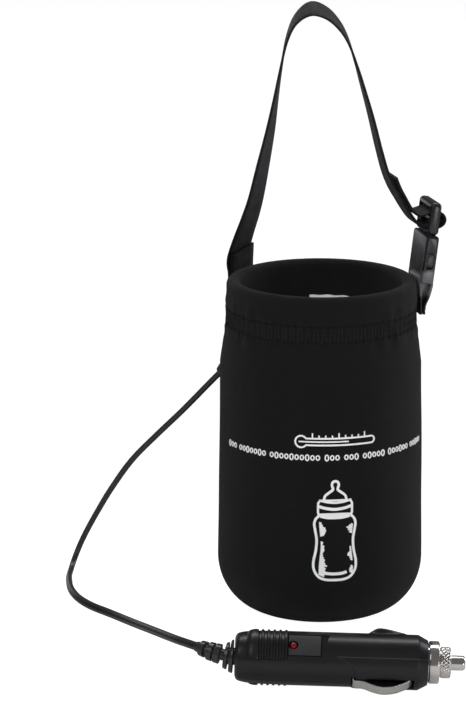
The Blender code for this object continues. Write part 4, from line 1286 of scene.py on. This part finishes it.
def side_contact():
    """Bowed nickel strip: foot, bow and sliding end."""
    line = [(8.9, 45.9), (10.2, 45.95), (10.95, 46.6), (11.05, 48.4), (11.35, 50.2), (12.4, 52.8),
            (13.4, 55.8), (13.6, 58.6), (13.0, 62.2), (11.5, 65.6), (10.4, 67.4), (9.4, 68.6)]
    side = plug_side(GROUND_SIDE)
    across = side.col[1].to_3d()
    stations = [(side @ Vector((out, 0, along)), across) for out, along in line]
    strip = skin("side_contact", band_rows(stations, 5.3, 0.5, 8, 0.12), "brushed", caps=True, sharp=50.0)
    place(strip, "contact_strip", "nickel", "ground_contact")


def nose_ring():
    outline = [(5.5, 79.4), (7.7, 79.4), (8.0, 79.3), (8.2, 79.1), (8.3, 78.8), (8.3, 75.9), (8.2, 75.6),
               (8.0, 75.4), (7.7, 75.3), (6.9, 75.3), (6.9, 72.0), (7.6, 72.0), (7.6, 70.1), (5.5, 70.1)]
    ring = turned("nose_ring", outline, "nickel", PLUG, 96)
    place(ring, "warmer", "nickel", "front_bushing")


def knurled_cap():
    """Nut with a diamond knurl between two plain edges."""
    starts, knurl = 24, 6.0
    outline = [(3.3, 83.9), (5.35, 83.9), (5.65, 83.8), (5.85, 83.6)]
    outline += [(knurl, 83.45 - 0.2 * k) for k in range(17)]
    outline += [(5.85, 80.05), (5.7, 79.85), (5.5, 79.7), (5.1, 79.7), (5.1, 72.0), (4.2, 72.0), (4.2, 81.6),
                (3.3, 81.6)]

    def knurled(_, radius, a, along):
        if radius != knurl:
            return radius
        lean = (along - 81.8) * 1.75
        diamond = abs(sin(starts * a / 2 + lean)) * abs(sin(starts * a / 2 - lean))
        return 5.82 + 0.28 * min(diamond * 1.3, 1.0)

    cap = skin("knurled_cap", ring_rows(outline, PLUG, 144, knurled), "nickel", closed=True, sharp=30.0)
    place(cap, "cap", "nickel", "retaining_cap")


def centre_pin():
    dome = [(1.75 + 1.2 * cos(a), 88.4 + 1.2 * sin(a)) for a in arc(0, 90, 6)]
    pin = turned("centre_pin", [(0, 79.2), (3.9, 79.2), (3.9, 81.2), (2.95, 81.2), *dome, (0, 89.6)],
                 "nickel", PLUG, 64)
    place(pin, "tip", "nickel", "centre_tip")


def fuse_coil():
    """Spring behind the fuse, made at one length; the real one shortens as the tip is pressed."""
    low, high, turns = 47.0, 58.2, 6
    line = [PLUG @ Vector((2.3 * cos(a), 2.3 * sin(a), low + (high - low) * k / (turns * 20)))
            for k, a in enumerate(arc(0, 360 * turns, turns * 20))]
    coil = skin("fuse_coil", tube_rows(line, 0.27, 8), "spring", caps=True)
    place(coil, "warmer", "spring_steel", "fuse_spring")
    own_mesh(coil)


PLUG_INSIDES = ["led_board", "led_resistor", "fuse_cap_front", "fuse_cap_rear", "fuse_glass", "fuse_wire",
                "fuse_sleeve", "rear_terminal", "plug_lead_positive", "plug_lead_negative", "tip_lead",
                "ground_lead"]


def lead_and_plug():
    lead, line = flat_lead()
    lead_bush()
    plug_housing()
    side_contact()
    nose_ring()
    knurled_cap()
    centre_pin()
    fuse_coil()
    on_lead = [strain_relief(), *indicator(), *(frame["nodes"][name] for name in PLUG_INSIDES)]
    points = [point * MM for point in line]
    length = sum((b - a).length for a, b in zip(points, points[1:]))
    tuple(points[0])


# ---- studio ----

FLOOR_LIFT = 0.95         # how much brighter the floor looks than it is
SURROUND = 0.12           # how bright the surroundings are to the object


def studio_floor():
    """Matte white floor that the camera sees a little brighter than it lights the object."""
    made = Finish("studio_floor", grey(0.3), 0.9, Specular_IOR_Level=0.0)
    made.colour(made.node("MapRange", made.place(1), -0.15, 0.20).outputs[0], grey(0.60), grey(0.12))
    made.put(made.shader.inputs["Emission Color"], (1.0, 1.0, 1.0, 1.0))
    seen = made.node("LightPath").outputs["Is Camera Ray"]
    made.put(made.shader.inputs["Emission Strength"], made.times(seen, FLOOR_LIFT))
    bpy.ops.mesh.primitive_plane_add(size=8.0, location=(0, 0, 0))
    floor = bpy.context.object
    floor.name = "studio_floor"
    floor.data.materials.append(made.material)


def soft_light(name, place_at, aim, width, height, power, colour=(1.0, 1.0, 1.0)):
    data = bpy.data.lights.new(name, "AREA")
    data.shape = "RECTANGLE"
    data.size, data.size_y = width, height
    data.energy = power
    data.color = colour
    lamp = bpy.data.objects.new(name, data)
    lamp.location = place_at
    lamp.rotation_euler = (Vector(aim) - Vector(place_at)).to_track_quat("-Z", "Y").to_euler()
    bpy.context.scene.collection.objects.link(lamp)
    return lamp


def studio():
    """White surroundings for the eye, dim ones for the reflections, and seven soft lights."""
    studio_floor()
    world = bpy.data.worlds.new("studio")
    world.use_nodes = True
    nodes, links = world.node_tree.nodes, world.node_tree.links
    background = nodes["Background"]
    background.inputs["Color"].default_value = (1.0, 1.0, 1.0, 1.0)
    strength = nodes.new("ShaderNodeMapRange")
    strength.inputs["To Min"].default_value = SURROUND
    strength.inputs["To Max"].default_value = 1.0
    links.new(nodes.new("ShaderNodeLightPath").outputs["Is Camera Ray"], strength.inputs["Value"])
    links.new(strength.outputs[0], background.inputs["Strength"])
    bpy.context.scene.world = world
    front = soft_light("front", (0.0, -1.25, 0.75), (0, 0, 0.08), 1.6, 0.6, 14)
    front.visible_glossy = False
    far = soft_light("far_side", (0.3, 1.4, 0.9), (0, 0, 0.08), 1.6, 0.8, 9)
    far.visible_glossy = False
    soft_light("overhead", (0.0, 0.62, 1.5), (0, 0, 0), 1.5, 0.4, 9, (0.95, 0.96, 1.0))
    soft_light("key_left", (-0.9, -0.7, 0.9), (0, 0, 0.10), 0.3, 0.6, 1.5)
    soft_light("back_left", (-0.75, 1.15, 0.05), (0.04, 0, 0.15), 0.7, 0.7, 1.2, (0.90, 0.92, 1.0))
    soft_light("strip_right", (0.62, -0.95, 0.0), (0.04, 0, 0.15), 0.12, 0.5, 1.6)
    soft_light("rim_right", (0.75, 0.35, 0.30), (0.03, 0, 0.09), 0.25, 0.7, 2.0, (0.86, 0.90, 1.0))
    bpy.context.scene.view_settings.view_transform = "Standard"


def camera():
    data = bpy.data.cameras.new("camera")
    data.lens = 159.5
    data.sensor_width = 36.0
    made = bpy.data.objects.new("camera", data)
    made.location = (-0.0363, -1.2627, 0.4283)
    made.rotation_euler = (radians(75.71), 0.0, 0.0)
    bpy.context.scene.collection.objects.link(made)
    bpy.context.scene.camera = made


camera()
studio()
lead_and_plug()
sleeve_shell()
sleeve_collar()
seam_thread()
upright_seam_thread()
sleeve_lining()
care_tag()
sleeve_print()
handle_strap()
strap_tacks()
buckle_tab()
buckle_socket()
buckle_plug()
latch_arm("latch_arm_front", "buckle_arm_front", 1, "arm_front")
latch_arm("latch_arm_rear", "buckle_arm_rear", -1, "arm_rear")
finish_inner_nodes()
